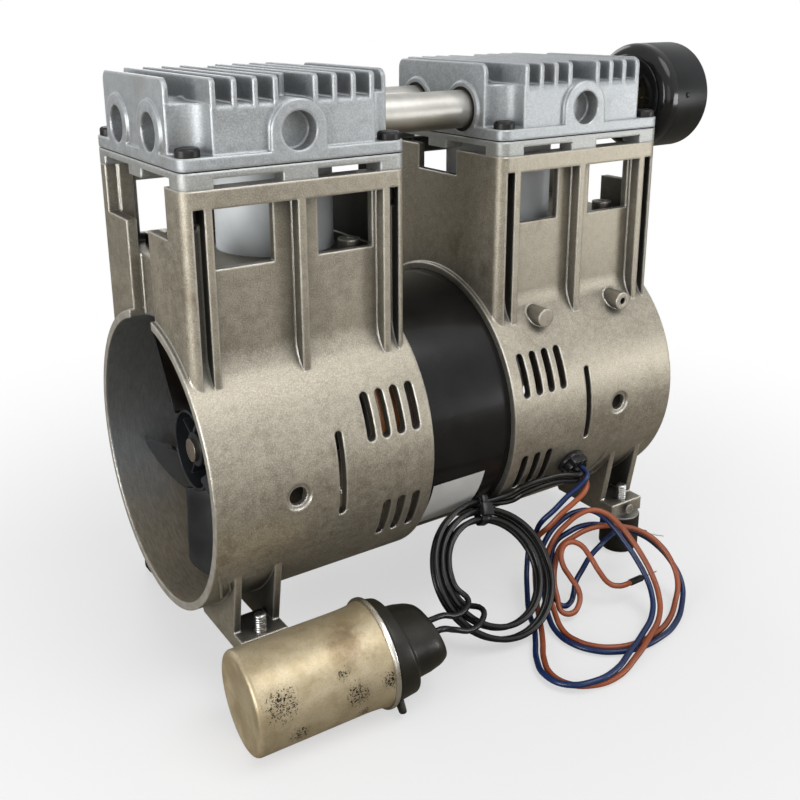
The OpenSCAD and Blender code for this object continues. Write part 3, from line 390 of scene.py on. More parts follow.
def metalFinish(name, dark, light, rough, grain=1500, depth=0.02, metallic=1.0, streak=None, edgeWearAndHighlight=0.5):
    f = Finish(name, Metallic=metallic)
    fine = f.noise(grain, 2, 0.5, stretch=streak)
    blot = f.noise(60, 4, 0.6)
    soft = f.rounded(0.4)
    colour = f.mix(f.ramp(blot, 0.35, 0.65), dark, light)
    # painted shade: darker in recesses and corners
    colour = f.mix(f.paintedShadeMask(6, 0.2, 0.9) * 0.5, colour, tuple(c * 0.35 for c in dark))
    # edges lightened: wear, and a painted highlight
    colour = f.mix(f.wornAndLitEdges(soft) * edgeWearAndHighlight, colour, tuple(min(0.9, c * 1.3) for c in light))
    return f.set(Base_Color=colour, Roughness=rough + (blot - 0.5) * 0.16 + (fine - 0.5) * 0.1,
                 Normal=f.bump(fine, depth, 0.6, soft))


def plasticFinish(name, dark, light, rough, grain=1200, depth=0.04, edgeWearAndHighlight=0.25, coat=0.0, shine=0.22):
    f = Finish(name, Metallic=0.0, Coat_Weight=coat, Coat_Roughness=0.12, Specular_IOR_Level=shine)
    fine = f.noise(grain, 3, 0.6)
    blot = f.noise(48, 4, 0.6)
    soft = f.rounded(0.5)
    edge = f.wornAndLitEdges(soft)
    colour = f.mix(f.ramp(blot, 0.3, 0.7), dark, light)
    # edges lightened: wear, and a painted highlight
    colour = f.mix(edge * edgeWearAndHighlight, colour, tuple(min(0.85, c * 1.9 + 0.02) for c in light))
    return f.set(Base_Color=colour, Roughness=rough + (blot - 0.5) * 0.14 - edge * 0.05,
                 Normal=f.bump(fine * 0.6 + blot * 0.4, depth, 0.6, soft))


def grey(level):
    return (level, level, level)


# After the castings, each row: name, dark and light colour, how rough it is, then what differs from the usual
finishes = {
    "housing": housingFinish("blastedCasting", castLook, machined),
    "head": castFinish("tumbledCasting", headLook),
    "plate": castFinish("plateCasting", plateLook),
    "shell": plasticFinish("blackEnamel", grey(0.006), grey(0.011), 0.24, grain=260, depth=0.03, edgeWearAndHighlight=0.1, coat=0.2),
    "lamination": metalFinish("lamination", (0.16, 0.15, 0.14), (0.26, 0.25, 0.24), 0.5,
                              grain=1400, streak=(6, 0.3, 0.3)),
    "winding": plasticFinish("varnishedCopper", (0.22, 0.07, 0.02), (0.38, 0.15, 0.05), 0.3,
                             grain=700, depth=0.2, edgeWearAndHighlight=0.2, coat=0.3),
    "steel": metalFinish("zincSteel", grey(0.42), (0.62, 0.62, 0.61), 0.32),
    "shaft": metalFinish("turnedSteel", (0.24, 0.20, 0.17), (0.40, 0.35, 0.30), 0.38, grain=2200),
    "sleeve": plasticFinish("whiteAnodised", (0.78, 0.83, 0.87), (0.88, 0.92, 0.94), 0.32,
                            grain=900, depth=0.01, edgeWearAndHighlight=0.1),
    "tube": metalFinish("drawnTube", (0.55, 0.54, 0.50), (0.65, 0.63, 0.59), 0.42, grain=1400, streak=(0.04, 1, 1)),
    "rubber": plasticFinish("footRubber", (0.014, 0.012, 0.008), (0.026, 0.022, 0.015), 0.6, grain=900, depth=0.08),
    "boot": plasticFinish("bootVinyl", (0.010, 0.009, 0.006), (0.020, 0.018, 0.012), 0.36,
                          grain=420, depth=0.2, edgeWearAndHighlight=0.3, shine=0.4),
    "gasket": plasticFinish("gasketPaper", grey(0.012), grey(0.02), 0.7),
    "dish": plasticFinish("glossBlack", (0.010, 0.010, 0.011), (0.018, 0.018, 0.019), 0.16,
                          grain=900, depth=0.02, edgeWearAndHighlight=0.2, coat=0.3),
    "cover": plasticFinish("satinBlack", (0.011, 0.012, 0.013), (0.018, 0.019, 0.020), 0.34, grain=1100, depth=0.03),
    "screw": metalFinish("blackScrew", grey(0.012), grey(0.03), 0.4, metallic=0.4, edgeWearAndHighlight=0.3),
    "plastic": plasticFinish("blackPlastic", (0.008, 0.008, 0.009), (0.015, 0.015, 0.016), 0.24,
                             grain=1100, depth=0.03, shine=0.4),
    "fan": plasticFinish("fanPlastic", (0.009, 0.010, 0.012), (0.018, 0.020, 0.023), 0.4,
                         grain=800, depth=0.05, edgeWearAndHighlight=0.3, shine=0.35),
    "cup": plasticFinish("pistonCup", (0.55, 0.50, 0.40), (0.68, 0.63, 0.52), 0.5),
    "felt": plasticFinish("filterFelt", (0.55, 0.53, 0.47), (0.70, 0.68, 0.62), 0.9, grain=500, depth=0.5),
    "iron": metalFinish("castIron", grey(0.12), grey(0.2), 0.6, grain=900, depth=0.1, metallic=0.8),
    "brass": metalFinish("tinnedBrass", (0.50, 0.40, 0.20), (0.66, 0.55, 0.32), 0.3),
    "sleeving": plasticFinish("sleeving", grey(0.01), grey(0.02), 0.5),
    "strand": metalFinish("tinnedStrand", (0.55, 0.53, 0.50), (0.72, 0.70, 0.67), 0.3),
    "seam": metalFinish("seamMetal", (0.60, 0.57, 0.50), (0.76, 0.74, 0.68), 0.28),
    "label": plasticFinish("barePaper", (0.66, 0.66, 0.64), (0.76, 0.76, 0.74), 0.45, grain=400, depth=0.02, edgeWearAndHighlight=0.0),
}
insulation = {
    "black": (grey(0.006), grey(0.013), 0.26), "blue": ((0.006, 0.019, 0.080), (0.011, 0.032, 0.115), 0.28),
    "orange": ((0.29, 0.072, 0.028), (0.38, 0.102, 0.042), 0.3),
}
for colour, (dark, light, rough) in insulation.items():
    finishes[colour + "Lead"] = plasticFinish(colour + "Insulation", dark, light, rough,
                                              grain=500, depth=0.06, shine=0.4)
print("finishes mixed:", len(finishes))


# Camera: worked out from the pump's own straight edges and circles
camera = {"at": (-0.28980, -0.43825, 0.31179), "azimuth": 32.87, "down": 16.87, "roll": -0.47,
          "focal": 993.3, "centre": (384.0, 310.5), "frame": 800}


def setCamera():
    data = bpy.data.cameras.new("photoCamera")
    eye = bpy.data.objects.new("photoCamera", data)
    bpy.context.scene.collection.objects.link(eye)
    turn = Matrix.Rotation(math.radians(-camera["azimuth"]), 4, "Z")
    tilt = Matrix.Rotation(math.radians(90 - camera["down"]), 4, "X")
    roll = Matrix.Rotation(math.radians(camera["roll"]), 4, "Z")
    eye.matrix_world = Matrix.Translation(camera["at"]) @ turn @ tilt @ roll
    data.sensor_width = 36
    data.lens = camera["focal"] / camera["frame"] * data.sensor_width
    half = camera["frame"] / 2
    data.shift_x = (half - camera["centre"][0]) / camera["frame"]
    data.shift_y = (camera["centre"][1] - half) / camera["frame"]
    data.clip_start = 0.02
    bpy.context.scene.camera = eye


setCamera()

# Leads: the same points as the CAD source. The coil leans on a slope, in two layers, 1 above and -1 below
lead = {"diameter": 3.0, "step": 3.7, "glandX": 72.3, "glandTilt": 24.3, "glandOut": 82.0, "shroud": 75.0}
coil = {"at": (0, -86.3, 29.6), "tilt": 48.6, "mid": (4.25, 2.8), "half": (30.25, 30.2), "pitch": 3.7,
        "tie": 75, "past": 8, "turns": 2, "spread": {1: 7, -1: 5.5}, "tightAt": 140, "extra": {1: 110, -1: 130},
        "every": 15}
can = {"at": (-146.4, -98.6), "yaw": -3.6, "diameter": 47.0, "rim": 52.0, "length": 66.7, "rimThick": 2.6}
bootExit = {"face": 30, "stub": 3, "across": {1: 3, -1: -6}, "up": 3}


def onSlope(v):
    s, c = math.sin(math.radians(coil["tilt"])), math.cos(math.radians(coil["tilt"]))
    o = coil["at"]
    return Vector((o[0] + v[0], o[1] + v[1] * c - v[2] * s, o[2] + v[1] * s + v[2] * c))


def turnOut(angle, layer):
    t = (angle - coil["tie"]) / 360
    lobe = coil["spread"][layer] * (1 - t / 2)
    return coil["pitch"] * (1 - t) + lobe * (1 - math.cos(math.radians(angle - coil["tightAt"]))) / 2


def ringPoint(angle, out, up):
    a = math.radians(angle)
    return Vector((coil["mid"][0] + (coil["half"][0] + out) * math.cos(a),
                   coil["mid"][1] + (coil["half"][1] + out) * math.sin(a), up))


def coilPoint(angle, layer):
    return onSlope(ringPoint(angle, turnOut(angle, layer), layer * coil["pitch"] / 2))


def glandExit(side, level):
    t = math.radians(lead["glandTilt"])
    out = Vector((0, -math.cos(t), -math.sin(t)))
    up = Vector((0, -math.sin(t), math.cos(t)))
    half = lead["step"] / 2
    face = Vector((lead["glandX"], 0, shaftHeight)) + lead["glandOut"] * out
    start = face + Vector((side * half, 0, 0)) + level * half * up
    return start, start + lead["diameter"] * out


# The can lies on its side, on the edge of its rim, so it leans by the angle between the two
canTilt = math.atan((can["rim"] - can["diameter"]) / 2 / (can["length"] - can["rimThick"]))


def canMatrix(scale=1.0):
    lift = can["diameter"] / 2 * math.cos(canTilt)
    return (Matrix.Translation(Vector((*can["at"], lift)) * scale)
            @ Matrix.Rotation(math.radians(can["yaw"]), 4, "Z") @ Matrix.Rotation(-canTilt, 4, "Y"))


def fromCan(*v):
    return canMatrix() @ Vector(v)


# From the gland to the coil, and on the slope from the coil to the boot
blackMids = {
    1: [(68.3, -80.6, 66.9), (64, -80.2, 67.6), (58, -78, 68.3), (48, -75, 67.5), (37, -71, 64.8), (31, -67, 60.4)],
    -1: [(68.3, -79, 63), (64, -78.6, 63.6), (58, -76.8, 64.3), (48, -74.5, 63.5), (38, -70.2, 60),
         (32.5, -66.1, 55.3)],
}
blackTails = {
    1: [(-19, -7, 5), (-24, -11, 7.5), (-32, -12, 9), (-39, -10, 11)],
    -1: [(-13, -14, 4.5), (-18, -19, 8), (-28, -21, 11), (-38, -18, 14)],
}


def blackRoute(layer):
    first, last = coil["tie"] - coil["past"], coil["tie"] + 360 * coil["turns"] + coil["extra"][layer]
    steps = math.ceil((last - first) / coil["every"])
    turns = [coilPoint(first + (last - first) * i / steps, layer) for i in range(steps + 1)]
    across, up = bootExit["across"][layer], bootExit["up"]
    face = can["length"] + bootExit["face"]
    return [*glandExit(-1, layer), *map(Vector, blackMids[layer]), *turns, *map(onSlope, blackTails[layer]),
            fromCan(face + bootExit["stub"], across, up), fromCan(face, across, up)]


# The orange wire's loops: the fourth number is how far round it, in degrees, the blue wire lies
supplyLoop = [
    (21, -106, 2, 0), (14, -115, 2, 0), (5, -126, 2, 0), (0, -137, 2, 10), (2, -147, 2, 30),
    (11, -154, 2, 65), (25, -156, 2, 105), (42, -152, 4, 150), (58, -146, 6, 180), (75, -137, 7, 180),
    (84, -128, 11, 180), (87, -120, 18, 180), (87, -112, 26, 190), (86, -104, 33, 205),
    (84, -97, 39, 225), (80, -91, 44, 250), (74, -86, 46, 280), (67, -83, 44, 310),
    (59, -82, 40, 340), (51, -81, 33, 350), (45, -82, 23, 330), (38, -92, 12, 300), (33, -103, 5, 345),
    (29, -114, 2, 360), (29, -124, 2, 360), (33, -132, 2, 360), (40, -138, 2, 360), (51, -142, 2, 360),
    (66, -142, 2, 360), (81, -138, 2, 355), (94, -131, 5, 345), (102, -125, 12, 320), (104, -118, 20, 290),
    (103, -109, 27, 270), (98, -101, 32, 265), (91, -94, 34, 270), (83, -89, 35, 290), (73, -85, 34, 325),
    (63, -83, 31, 350), (55, -82, 27, 345), (48, -86, 21, 300),
]
supplyMids = {
    "blue": [(72.5, -82, 65.5), (67, -82.5, 61.5), (61, -80, 56), (54, -77, 48), (48, -73, 40), (47, -70, 32),
             (44, -69, 25), (40, -72, 16), (31, -83, 8), (23, -94, 4)],
    "orange": [(72.5, -82, 61), (68.5, -84.5, 58), (62, -84, 53.5), (55, -82, 48), (50, -79, 41),
               (44, -73, 29), (42, -76, 18), (34, -87, 7), (27, -97, 3)],
}
supplyTails = {
    "blue": [(44, -86, 14), (43, -90, 9), (41, -95, 6), (42, -99, 4), (48, -99, 4), (52, -97, 7), (57, -93, 10),
             (64, -91, 15), (70, -90, 20), (78, -90, 25), (85, -88, 26), (93, -87, 27), (101, -88, 26), (104, -89, 25)],
    "orange": [(42, -92, 15), (39, -98, 10), (37, -104, 5), (41, -107, 4), (47, -106, 6), (51, -102, 11),
               (50, -96, 17), (48, -92, 23), (50, -88, 28), (55, -87, 32), (61, -90, 31), (64, -96, 25),
               (65, -102, 19), (68, -108, 13), (72, -111, 12), (76, -112, 12), (79, -112, 12)],
}
pairLean = {"from": 4, "over": 12, "slope": (-0.48, -0.9)}  # level on the floor, leaning where the loops climb


def besideOrange(i):
    points = [Vector(p[:3]) for p in supplyLoop]
    here = points[i]
    ahead = (points[min(i + 1, len(points) - 1)] - points[max(i - 1, 0)]).normalized()
    k = min(1, max(0, (here.z - pairLean["from"]) / pairLean["over"]))
    slope = Vector((pairLean["slope"][0] * k, pairLean["slope"][1] * k, 1)).normalized()
    out = ahead.cross(slope).normalized()
    up = out.cross(ahead)
    turn = math.radians(supplyLoop[i][3])
    return here + lead["step"] * (math.cos(turn) * out + math.sin(turn) * up)


def supplyRoute(which):
    if which == "blue":
        level, loop = 1, [besideOrange(i) for i in range(len(supplyLoop))]
    else:
        level, loop = -1, [Vector(p[:3]) for p in supplyLoop]
    return [*glandExit(1, level), *map(Vector, supplyMids[which]), *loop, *map(Vector, supplyTails[which])]


def layCord(name, route, finish, slot, *stoodFor):
    data = bpy.data.curves.new(name, "CURVE")
    data.dimensions = "3D"
    data.bevel_depth = lead["diameter"] / 2 * mm
    data.bevel_resolution = 3
    data.resolution_u = 5
    data.use_fill_caps = True
    line = data.splines.new("BEZIER")
    line.bezier_points.add(len(route) - 1)
    for knot, point in zip(line.bezier_points, route):
        knot.co = point * mm
        knot.handle_left_type = knot.handle_right_type = "AUTO"
    piece = bpy.data.objects.new(name, data)
    bpy.context.scene.collection.objects.link(piece)
    return fitOut(piece, finish, slot, "pump", *stoodFor)


def cordLength(piece, steps=8):
    knots = piece.data.splines[0].bezier_points
    total = 0
    for a, b in zip(knots[:-1], knots[1:]):
        before = a.co
        for i in range(1, steps + 1):
            t = i / steps
            u = 1 - t
            here = (u ** 3 * a.co + 3 * u * u * t * a.handle_right
                    + 3 * u * t * t * b.handle_left + t ** 3 * b.co)
            total += (here - before).length
            before = here
    return total


# Heat-shrink sleeve and stripped strands on a supply lead's end
tips = {"sleeve": 9, "sleeveRadius": 1.8, "sleeveWall": 0.5, "bare": 12, "strand": 0.2, "strands": 5, "twist": 150}


def makeStrand(name):
    strand = addDrum(name, tips["strand"], tips["bare"], vertices=8)
    editFaces(strand, facing("Z"))
    bpy.ops.transform.resize(value=(0.7, 0.7, 1))
    doneEditing()
    editEdges(strand, lambda a, b: abs(a.z - b.z) > tips["bare"] / 2 * mm)
    bpy.ops.mesh.subdivide(number_cuts=9)
    doneEditing()
    moveMesh(strand, tips["strand"] * 1.05)
    modify(strand, "SIMPLE_DEFORM", deform_method="TWIST", deform_axis="Z", angle=math.radians(tips["twist"]))
    return strand


def stripEnd(name, route):
    end = route[-1]
    way = (end - route[-2]).normalized()
    turn = way.to_track_quat("Z", "Y").to_matrix().to_4x4()
    sleeve = addDrum(name + "Sleeve", tips["sleeveRadius"], tips["sleeve"], vertices=24)
    editFaces(sleeve, endFaces)
    bpy.ops.mesh.inset(thickness=tips["sleeveWall"] * mm)
    doneEditing()
    roundEdges(sleeve, 0.35, 2)
    strands = []
    for i in range(tips["strands"]):
        strand = turnMesh(makeStrand(name + "Strand"), 360 / tips["strands"] * i, "Z")
        strands.append(smoothOff(strand, 60))
    bare = joinUp(*strands)
    bare.name = name + "Strands"
    for piece, middle in ((sleeve, tips["sleeve"] / 2), (bare, tips["sleeve"] + tips["bare"] / 2)):
        piece.data.transform(Matrix.Translation((end + way * middle) * mm) @ turn)
    fitOut(sleeve, "sleeving", "black_plastic", "pump", "wire_tips")
    fitOut(bare, "strand", "tinned_copper", "pump", "wire_tips")
    return [sleeve, bare]


laidCords = []
for name, layer in (("blackUpper", 1), ("blackLower", -1)):
    piece = layCord(name, blackRoute(layer), "blackLead", "black_lead", "black_leads", "black_coil", "black_tails")
    laidCords.append((piece, glandExit(-1, layer)[0], "object", []))
for name in ("blue", "orange"):
    route = supplyRoute(name)
    piece = layCord(name + "Supply", route, name + "Lead", "supply_lead", "supply_leads", "supply_coil", "supply_tails")
    laidCords.append((piece, route[0], "bare", stripEnd(name, route)))
print("leads laid:", [round(cordLength(piece), 3) for piece, *_ in laidCords])


# Tie round the top of the coil, with its locking head and cut tail
tie = {"wall": 0.9, "wide": 4.0, "round": 2.1, "slackOut": 1, "slackUp": 0.7, "lift": 1.9,
       "head": (7, 4, 6.4), "headX": -1, "mouth": (1.1, -1.6), "tail": (5, 1.1, 3.4), "tailX": 4.2}


def makeTie():
    outer, inner = turnOut(coil["tie"], 1), turnOut(coil["tie"] + 360 * coil["turns"], -1)
    wide = outer - inner + lead["diameter"] + tie["slackOut"]
    high = coil["pitch"] + lead["diameter"] + tie["slackUp"]
    band = addBlock("tieBand", (wide, high, tie["wide"]))
    editFaces(band, endFaces)
    bpy.ops.mesh.delete(type="ONLY_FACE")
    doneEditing()
    editEdges(band, lambda a, b: abs(a.z - b.z) > tie["wide"] / 2 * mm)
    bpy.ops.mesh.bevel(offset=tie["round"] * mm, segments=5)
    doneEditing()
    modify(band, "SOLIDIFY", thickness=tie["wall"] * mm, offset=1, use_even_offset=True)
    roundEdges(band, 0.22, 2)
    level = high / 2 + tie["wall"] + tie["lift"]
    head = addBlock("tieHead", tie["head"], (tie["headX"], level, 0))
    stepFace(head, "X", tie["mouth"])
    roundEdges(head, 0.6)
    tail = roundEdges(addBlock("tieTail", tie["tail"], (tie["tailX"], level, 0)), 0.2, 2)
    piece = joinUp(band, head, tail)
    piece.name = "coilTie"
    spot = ringPoint(coil["tie"], (outer + inner) / 2, 0)
    piece.data.transform(
        Matrix.Translation(metres(coil["at"])) @ Matrix.Rotation(math.radians(coil["tilt"]), 4, "X")
        @ Matrix.Translation(spot * mm) @ Matrix.Rotation(math.radians(coil["tie"]), 4, "Z")
        @ Matrix.Rotation(math.pi / 2, 4, "X"))
    fitOut(piece, "plastic", "black_plastic", "pump", "cable_tie")


# Run capacitor: yellowed bare can with a rolled seam. Its stains are given along it and round from its top
canShape = {"edge": 2.2, "end": (1.2, 0.5), "rings": 14, "flareLong": 14, "flare": 0.045,
            "seamWell": (1.7, -1.2), "seamEdge": 0.8}
canSpots = [((11, 66), 10), ((46, 88), 8), ((62, 84), 6), ((41, 60), 4), ((18, 110), 7), ((50, 120), 5)]
canSmear = (48, 34)


def onCan(along, around):
    a = math.radians(around)
    return tuple(fromCan(along, -can["diameter"] / 2 * math.sin(a), can["diameter"] / 2 * math.cos(a)) * mm)


def canFinish():
    f = Finish("stainedCan", Metallic=0.6)
    fine = f.noise(1500, 3, 0.6)
    cloud = f.noise(70, 5, 0.65)
    broad = f.noise(24, 3, 0.5)
    speck = f.noise(1000, 3, 0.75)
    soft = f.rounded(0.5)
    patches = []
    for spot, size in canSpots:
        away = f.vector("DISTANCE", f.place, onCan(*spot))
        patches.append(f.ramp(away, size * 1.15 * mm, size * 0.25 * mm))
    inPatch = patches[0]
    for patch in patches[1:]:
        inPatch = f.maths("MAXIMUM", inPatch, patch)
    dots = f.ramp(speck + inPatch * 0.14, 0.65, 0.68) * f.ramp(inPatch, 0.02, 0.2)
    smear = f.vector("DISTANCE", f.place, onCan(*canSmear)) + (cloud - 0.5) * 0.02
    colour = f.mix(f.ramp(cloud, 0.32, 0.68), (0.44, 0.355, 0.215), (0.62, 0.53, 0.365))
    colour = f.mix(f.ramp(fine, 0.5, 0.72) * 0.5, colour, (0.32, 0.25, 0.15))
    colour = f.mix(f.ramp(broad, 0.52, 0.72) * 0.3, colour, (0.43, 0.36, 0.25))
    colour = f.mix(inPatch * f.ramp(fine, 0.3, 0.7) * 0.35, colour, (0.16, 0.11, 0.06))
    colour = f.mix(f.ramp(smear, 12 * mm, 2 * mm) * 0.7, colour, (0.16, 0.095, 0.04))
    colour = f.mix(dots, colour, (0.02, 0.015, 0.01))
    # rolled edge lightened: wear, and a painted highlight
    colour = f.mix(f.wornAndLitEdges(soft) * 0.5, colour, (0.72, 0.66, 0.54))
    return f.set(Base_Color=colour, Roughness=0.45 + (cloud - 0.5) * 0.2 + dots * 0.3,
                 Normal=f.bump(fine * 0.4 + cloud * 0.6, 0.12, 0.5, soft))


def makeCan():
    length = can["length"] - can["rimThick"]
    body = addDrum("canBody", can["diameter"] / 2, length, (length / 2, 0, 0), "X", 96)
    roundRim(body, "-X", canShape["edge"], 5)
    stepFace(body, "-X", canShape["end"], least=0.99)
    editEdges(body, lambda a, b: abs(a.x - b.x) > length / 2 * mm)
    bpy.ops.mesh.subdivide(number_cuts=canShape["rings"])
    doneEditing()
    for v in body.data.vertices:  # the can flares a little into its seam
        near = max(0.0, 1 + (v.co.x / mm - length) / canShape["flareLong"])
        grow = 1 + canShape["flare"] * near ** 3
        v.co.y *= grow
        v.co.z *= grow
    smoothOff(body)
    seam = addDrum("canSeam", can["rim"] / 2, can["rimThick"], (can["length"] - can["rimThick"] / 2, 0, 0), "X", 96)
    stepFace(seam, "X", canShape["seamWell"])
    roundEdges(seam, canShape["seamEdge"], 4)
    for piece, node, finish in ((body, "capacitor_can", "can"), (seam, "capacitor_rim", "seam")):
        piece.data.transform(canMatrix(mm))
        fitOut(piece, finish, "aluminium", "pump", node)


# Rubber boot over the capacitor's terminals: a sloping cuff, a hump in three steps and a pull tab
boot = {"cuff": 10.5, "inside": 1.4, "cuffEnd": (0.97, 0.93), "slope": 9, "ledge": 2.6, "ledgeUp": 1.2,
        "neck": (0.93, 0.84), "hump": [(7.5, 0.97, 0.95), (6.5, 0.94, 0.9), (4.3, 0.86, 0.84)],
        "tab": (3.2, 9, 15), "tabAt": (4, 0, -22.5), "tabEnd": (0.8, 0.55), "tabRound": -38}


def makeBoot():
    start, end = can["length"], can["length"] + boot["cuff"]
    piece = addDrum("canBoot", can["rim"] / 2 - boot["inside"], boot["cuff"], ((start + end) / 2, 0, 0), "X", 64)
    editFaces(piece, facing("X"))
    bpy.ops.transform.resize(value=(1, *boot["cuffEnd"]))
    bpy.ops.transform.rotate(value=math.radians(boot["slope"]), orient_axis="Y", center_override=(end * mm, 0, 0))
    bpy.ops.mesh.inset(thickness=boot["ledge"] * mm)
    push(x=boot["ledgeUp"])
    bpy.ops.transform.resize(value=(1, *boot["neck"]))
    for reach, shrinkY, shrinkZ in boot["hump"]:
        extrude(x=reach)
        bpy.ops.transform.resize(value=(1, shrinkY, shrinkZ))
    doneEditing()
    roundEdges(piece, 1.5, 4, 16)
    x, y, z = boot["tabAt"]
    tab = addBlock("bootTab", boot["tab"], (start + x, y, z))
    editFaces(tab, facing("-Z"))
    bpy.ops.transform.resize(value=(*boot["tabEnd"], 1))
    doneEditing()
    turnMesh(roundEdges(tab, 1.2), boot["tabRound"], "X")
    piece = joinUp(piece, tab)
    piece.data.transform(canMatrix(mm))
    print("boot's lowest point", round(min(v.co.z for v in piece.data.vertices) / mm, 2), "mm")
    fitOut(piece, "boot", "rubber", "pump", "capacitor_boot")


# Cord gland: round flange and barrel, a ribbed clamp block on the upper side, fins below. Up is away from the wall
gland = {"flange": (8.0, 2.4, 1.3), "flangeDish": (0.9, -0.5), "barrel": (6.4, 6.9, 3.5), "barrelDish": (1.1, -1.6),
         "block": (10, 6.6, 6.9), "blockY": 3.8, "blockUp": 3.45, "rib": (1.1, 7.2, 1.0), "ribX": (-3.4, 0, 3.4),
         "ribUp": 6.9, "fin": (1.3, 1.6, 5.6), "finOut": 6.6, "finUp": 3.0, "finAngles": (200, 235, 270, 305, 340)}


def makeGland():
    base = lead["shroud"]
    parts = []
    for name, key, vertices, edge in (("cordGland", "flange", 48, 0.35), ("glandBarrel", "barrel", 40, 0.4)):
        radius, thick, up = gland[key]
        part = addDrum(name, radius, thick, (0, 0, base + up), vertices=vertices)
        stepFace(part, "Z", gland[key + "Dish"])
        parts.append(roundEdges(part, edge, 2))
    block = addBlock("glandBlock", gland["block"], (0, gland["blockY"], base + gland["blockUp"]))
    editFaces(block, facing("Z"))
    bpy.ops.mesh.subdivide(number_cuts=2)
    doneEditing()
    parts.append(roundEdges(block, 0.5, 2))
    for x in gland["ribX"]:
        rib = addBlock("glandRib", gland["rib"], (x, gland["blockY"], base + gland["ribUp"]))
        parts.append(roundEdges(rib, 0.3, 2))
    for angle in gland["finAngles"]:
        fin = addBlock("glandFin", gland["fin"], (gland["finOut"], 0, base + gland["finUp"]))
        parts.append(roundEdges(turnMesh(fin, angle, "Z"), 0.3, 2))
    piece = joinUp(*parts)
    piece.data.transform(
        Matrix.Translation(metres((lead["glandX"], 0, shaftHeight)))
        @ Matrix.Rotation(math.radians(lead["glandTilt"]), 4, "X") @ Matrix.Rotation(math.pi / 2, 4, "X"))
    fitOut(piece, "plastic", "rubber", "pump", "cord_gland")


# Intake filter: domed base on a ribbed neck, and a drum-shaped cover with grip slots
intake = {"x0": 150.0, "x1": 185.0, "split": 159.0, "radius": 30.0, "y": -20.6, "z": 262.0,
          "dome": 6, "neckBorder": 8, "neckOut": -0.8, "neckWall": 3, "neckRib": (3.2, 1.4, 6.5), "neckRibs": 8,
          "coverEdge": 2.5, "coverFace": ((4, -0.9), (9, 0.6)), "slot": (17, 3.2, 4), "slotX": 11.5, "slotOut": 29.6,
          "pip": (1.5, 0.8), "pipAt": (8, -30.1, 2)}


def makeFilter():
    s = intake
    base = addDrum("filterBase", s["radius"], s["split"] - s["x0"], ((s["x0"] + s["split"]) / 2, 0, 0), "X", 96)
    roundRim(base, "-X", s["dome"], 7)
    editFaces(base, facing("-X", 0.99))
    bpy.ops.mesh.inset(thickness=s["neckBorder"] * mm)
    extrude(x=s["neckOut"])
    bpy.ops.mesh.inset(thickness=s["neckWall"] * mm)
    doneEditing()
    smoothOff(base, 30)
    cover = addDrum("filterCover", s["radius"], s["x1"] - s["split"], ((s["x1"] + s["split"]) / 2, 0, 0), "X", 96)
    roundRim(cover, "X", s["coverEdge"], 5)
    stepFace(cover, "X", *s["coverFace"], least=0.99)
    for side in (1, -1):
        slot = addBlock("gripSlot", s["slot"], (s["split"] + s["slotX"], 0, side * s["slotOut"]))
        cutAway(cover, roundEdges(slot, 0.6, 2))
    smoothOff(cover, 30)
    x, y, z = s["pipAt"]
    pip = addDrum("filterPip", *s["pip"], (s["split"] + x, y, z), "Y", 20)
    cover = joinUp(cover, roundEdges(pip, 0.3, 2))
    ribs = []
    for i in range(s["neckRibs"]):
        rib = addBlock("neckRib", s["neckRib"], (s["x0"] - 0.2, 0, 15))
        ribs.append(roundEdges(turnMesh(rib, 360 / s["neckRibs"] * i, "X"), 0.3, 2))
    base = joinUp(base, *ribs)
    for piece, node, finish in ((base, "filter_base", "dish"), (cover, "filter_cover", "cover")):
        fitOut(moveMesh(piece, 0, s["y"], s["z"]), finish, "black_plastic", "pump", node)


# Cooling fans: a cupped hub with diagonal webs, and five twisted blades with round tips
fan = {"x0": 105.3, "x1": 123.3, "hub": 21.2, "wall": 1.7, "cup": 14.5, "boss": 9.0, "bossBack": 2,
       "web": (12, 12.4, 1.5), "webX": 8.4, "webOut": 14.2, "webs": (30, 120, 210, 300),
       "tip": 69.0, "blades": 5, "bladeFrom": 108.3, "bladeTo": 126.3, "thick": 2.2, "wrap": 32, "first": 76,
       "corners": {"bladeFrom": (10.5, 9), "bladeTo": (7, 7)}, "cutsAcross": 12, "cutsOut": 8, "edge": 0.5}


def cutPlanes(piece, axis, start, reach, count):
    for i in range(1, count):
        editFaces(piece, allFaces)
        spot, normal = Vector(), Vector()
        spot[axis], normal[axis] = (start + reach * i / count) * mm, 1
        bpy.ops.mesh.bisect(plane_co=spot, plane_no=normal)
        doneEditing()


def makeBlade():
    deep, reach = fan["bladeTo"] - fan["bladeFrom"], fan["tip"] - fan["hub"] + 1
    middle = ((fan["bladeTo"] + fan["bladeFrom"]) / 2, fan["tip"] - reach / 2, 0)
    blade = addBlock("fanBlade", (deep, reach, fan["thick"]), middle)
    outer, near = (fan["tip"] - 0.1) * mm, 0.1 * mm
    for side, (radius, segments) in fan["corners"].items():
        x = fan[side] * mm
        editEdges(blade, lambda a, b: min(a.y, b.y) > outer and abs(a.x - x) < near and abs(b.x - x) < near)
        bpy.ops.mesh.bevel(offset=radius * mm, segments=segments)
        doneEditing()
    cutPlanes(blade, 0, fan["bladeFrom"], deep, fan["cutsAcross"])
    cutPlanes(blade, 1, fan["hub"], reach, fan["cutsOut"])
    for v in blade.data.vertices:  # twisted as a screw: the turn follows the way along the shaft
        along = (v.co.x / mm - fan["bladeFrom"]) / deep
        v.co = Matrix.Rotation(math.radians(fan["first"] - 90 - fan["wrap"] * (1 - along)), 4, "X") @ v.co
    modify(blade, "BEVEL", width=fan["edge"] * mm, segments=2, angle_limit=math.radians(50))
    return smoothOff(blade, 40)


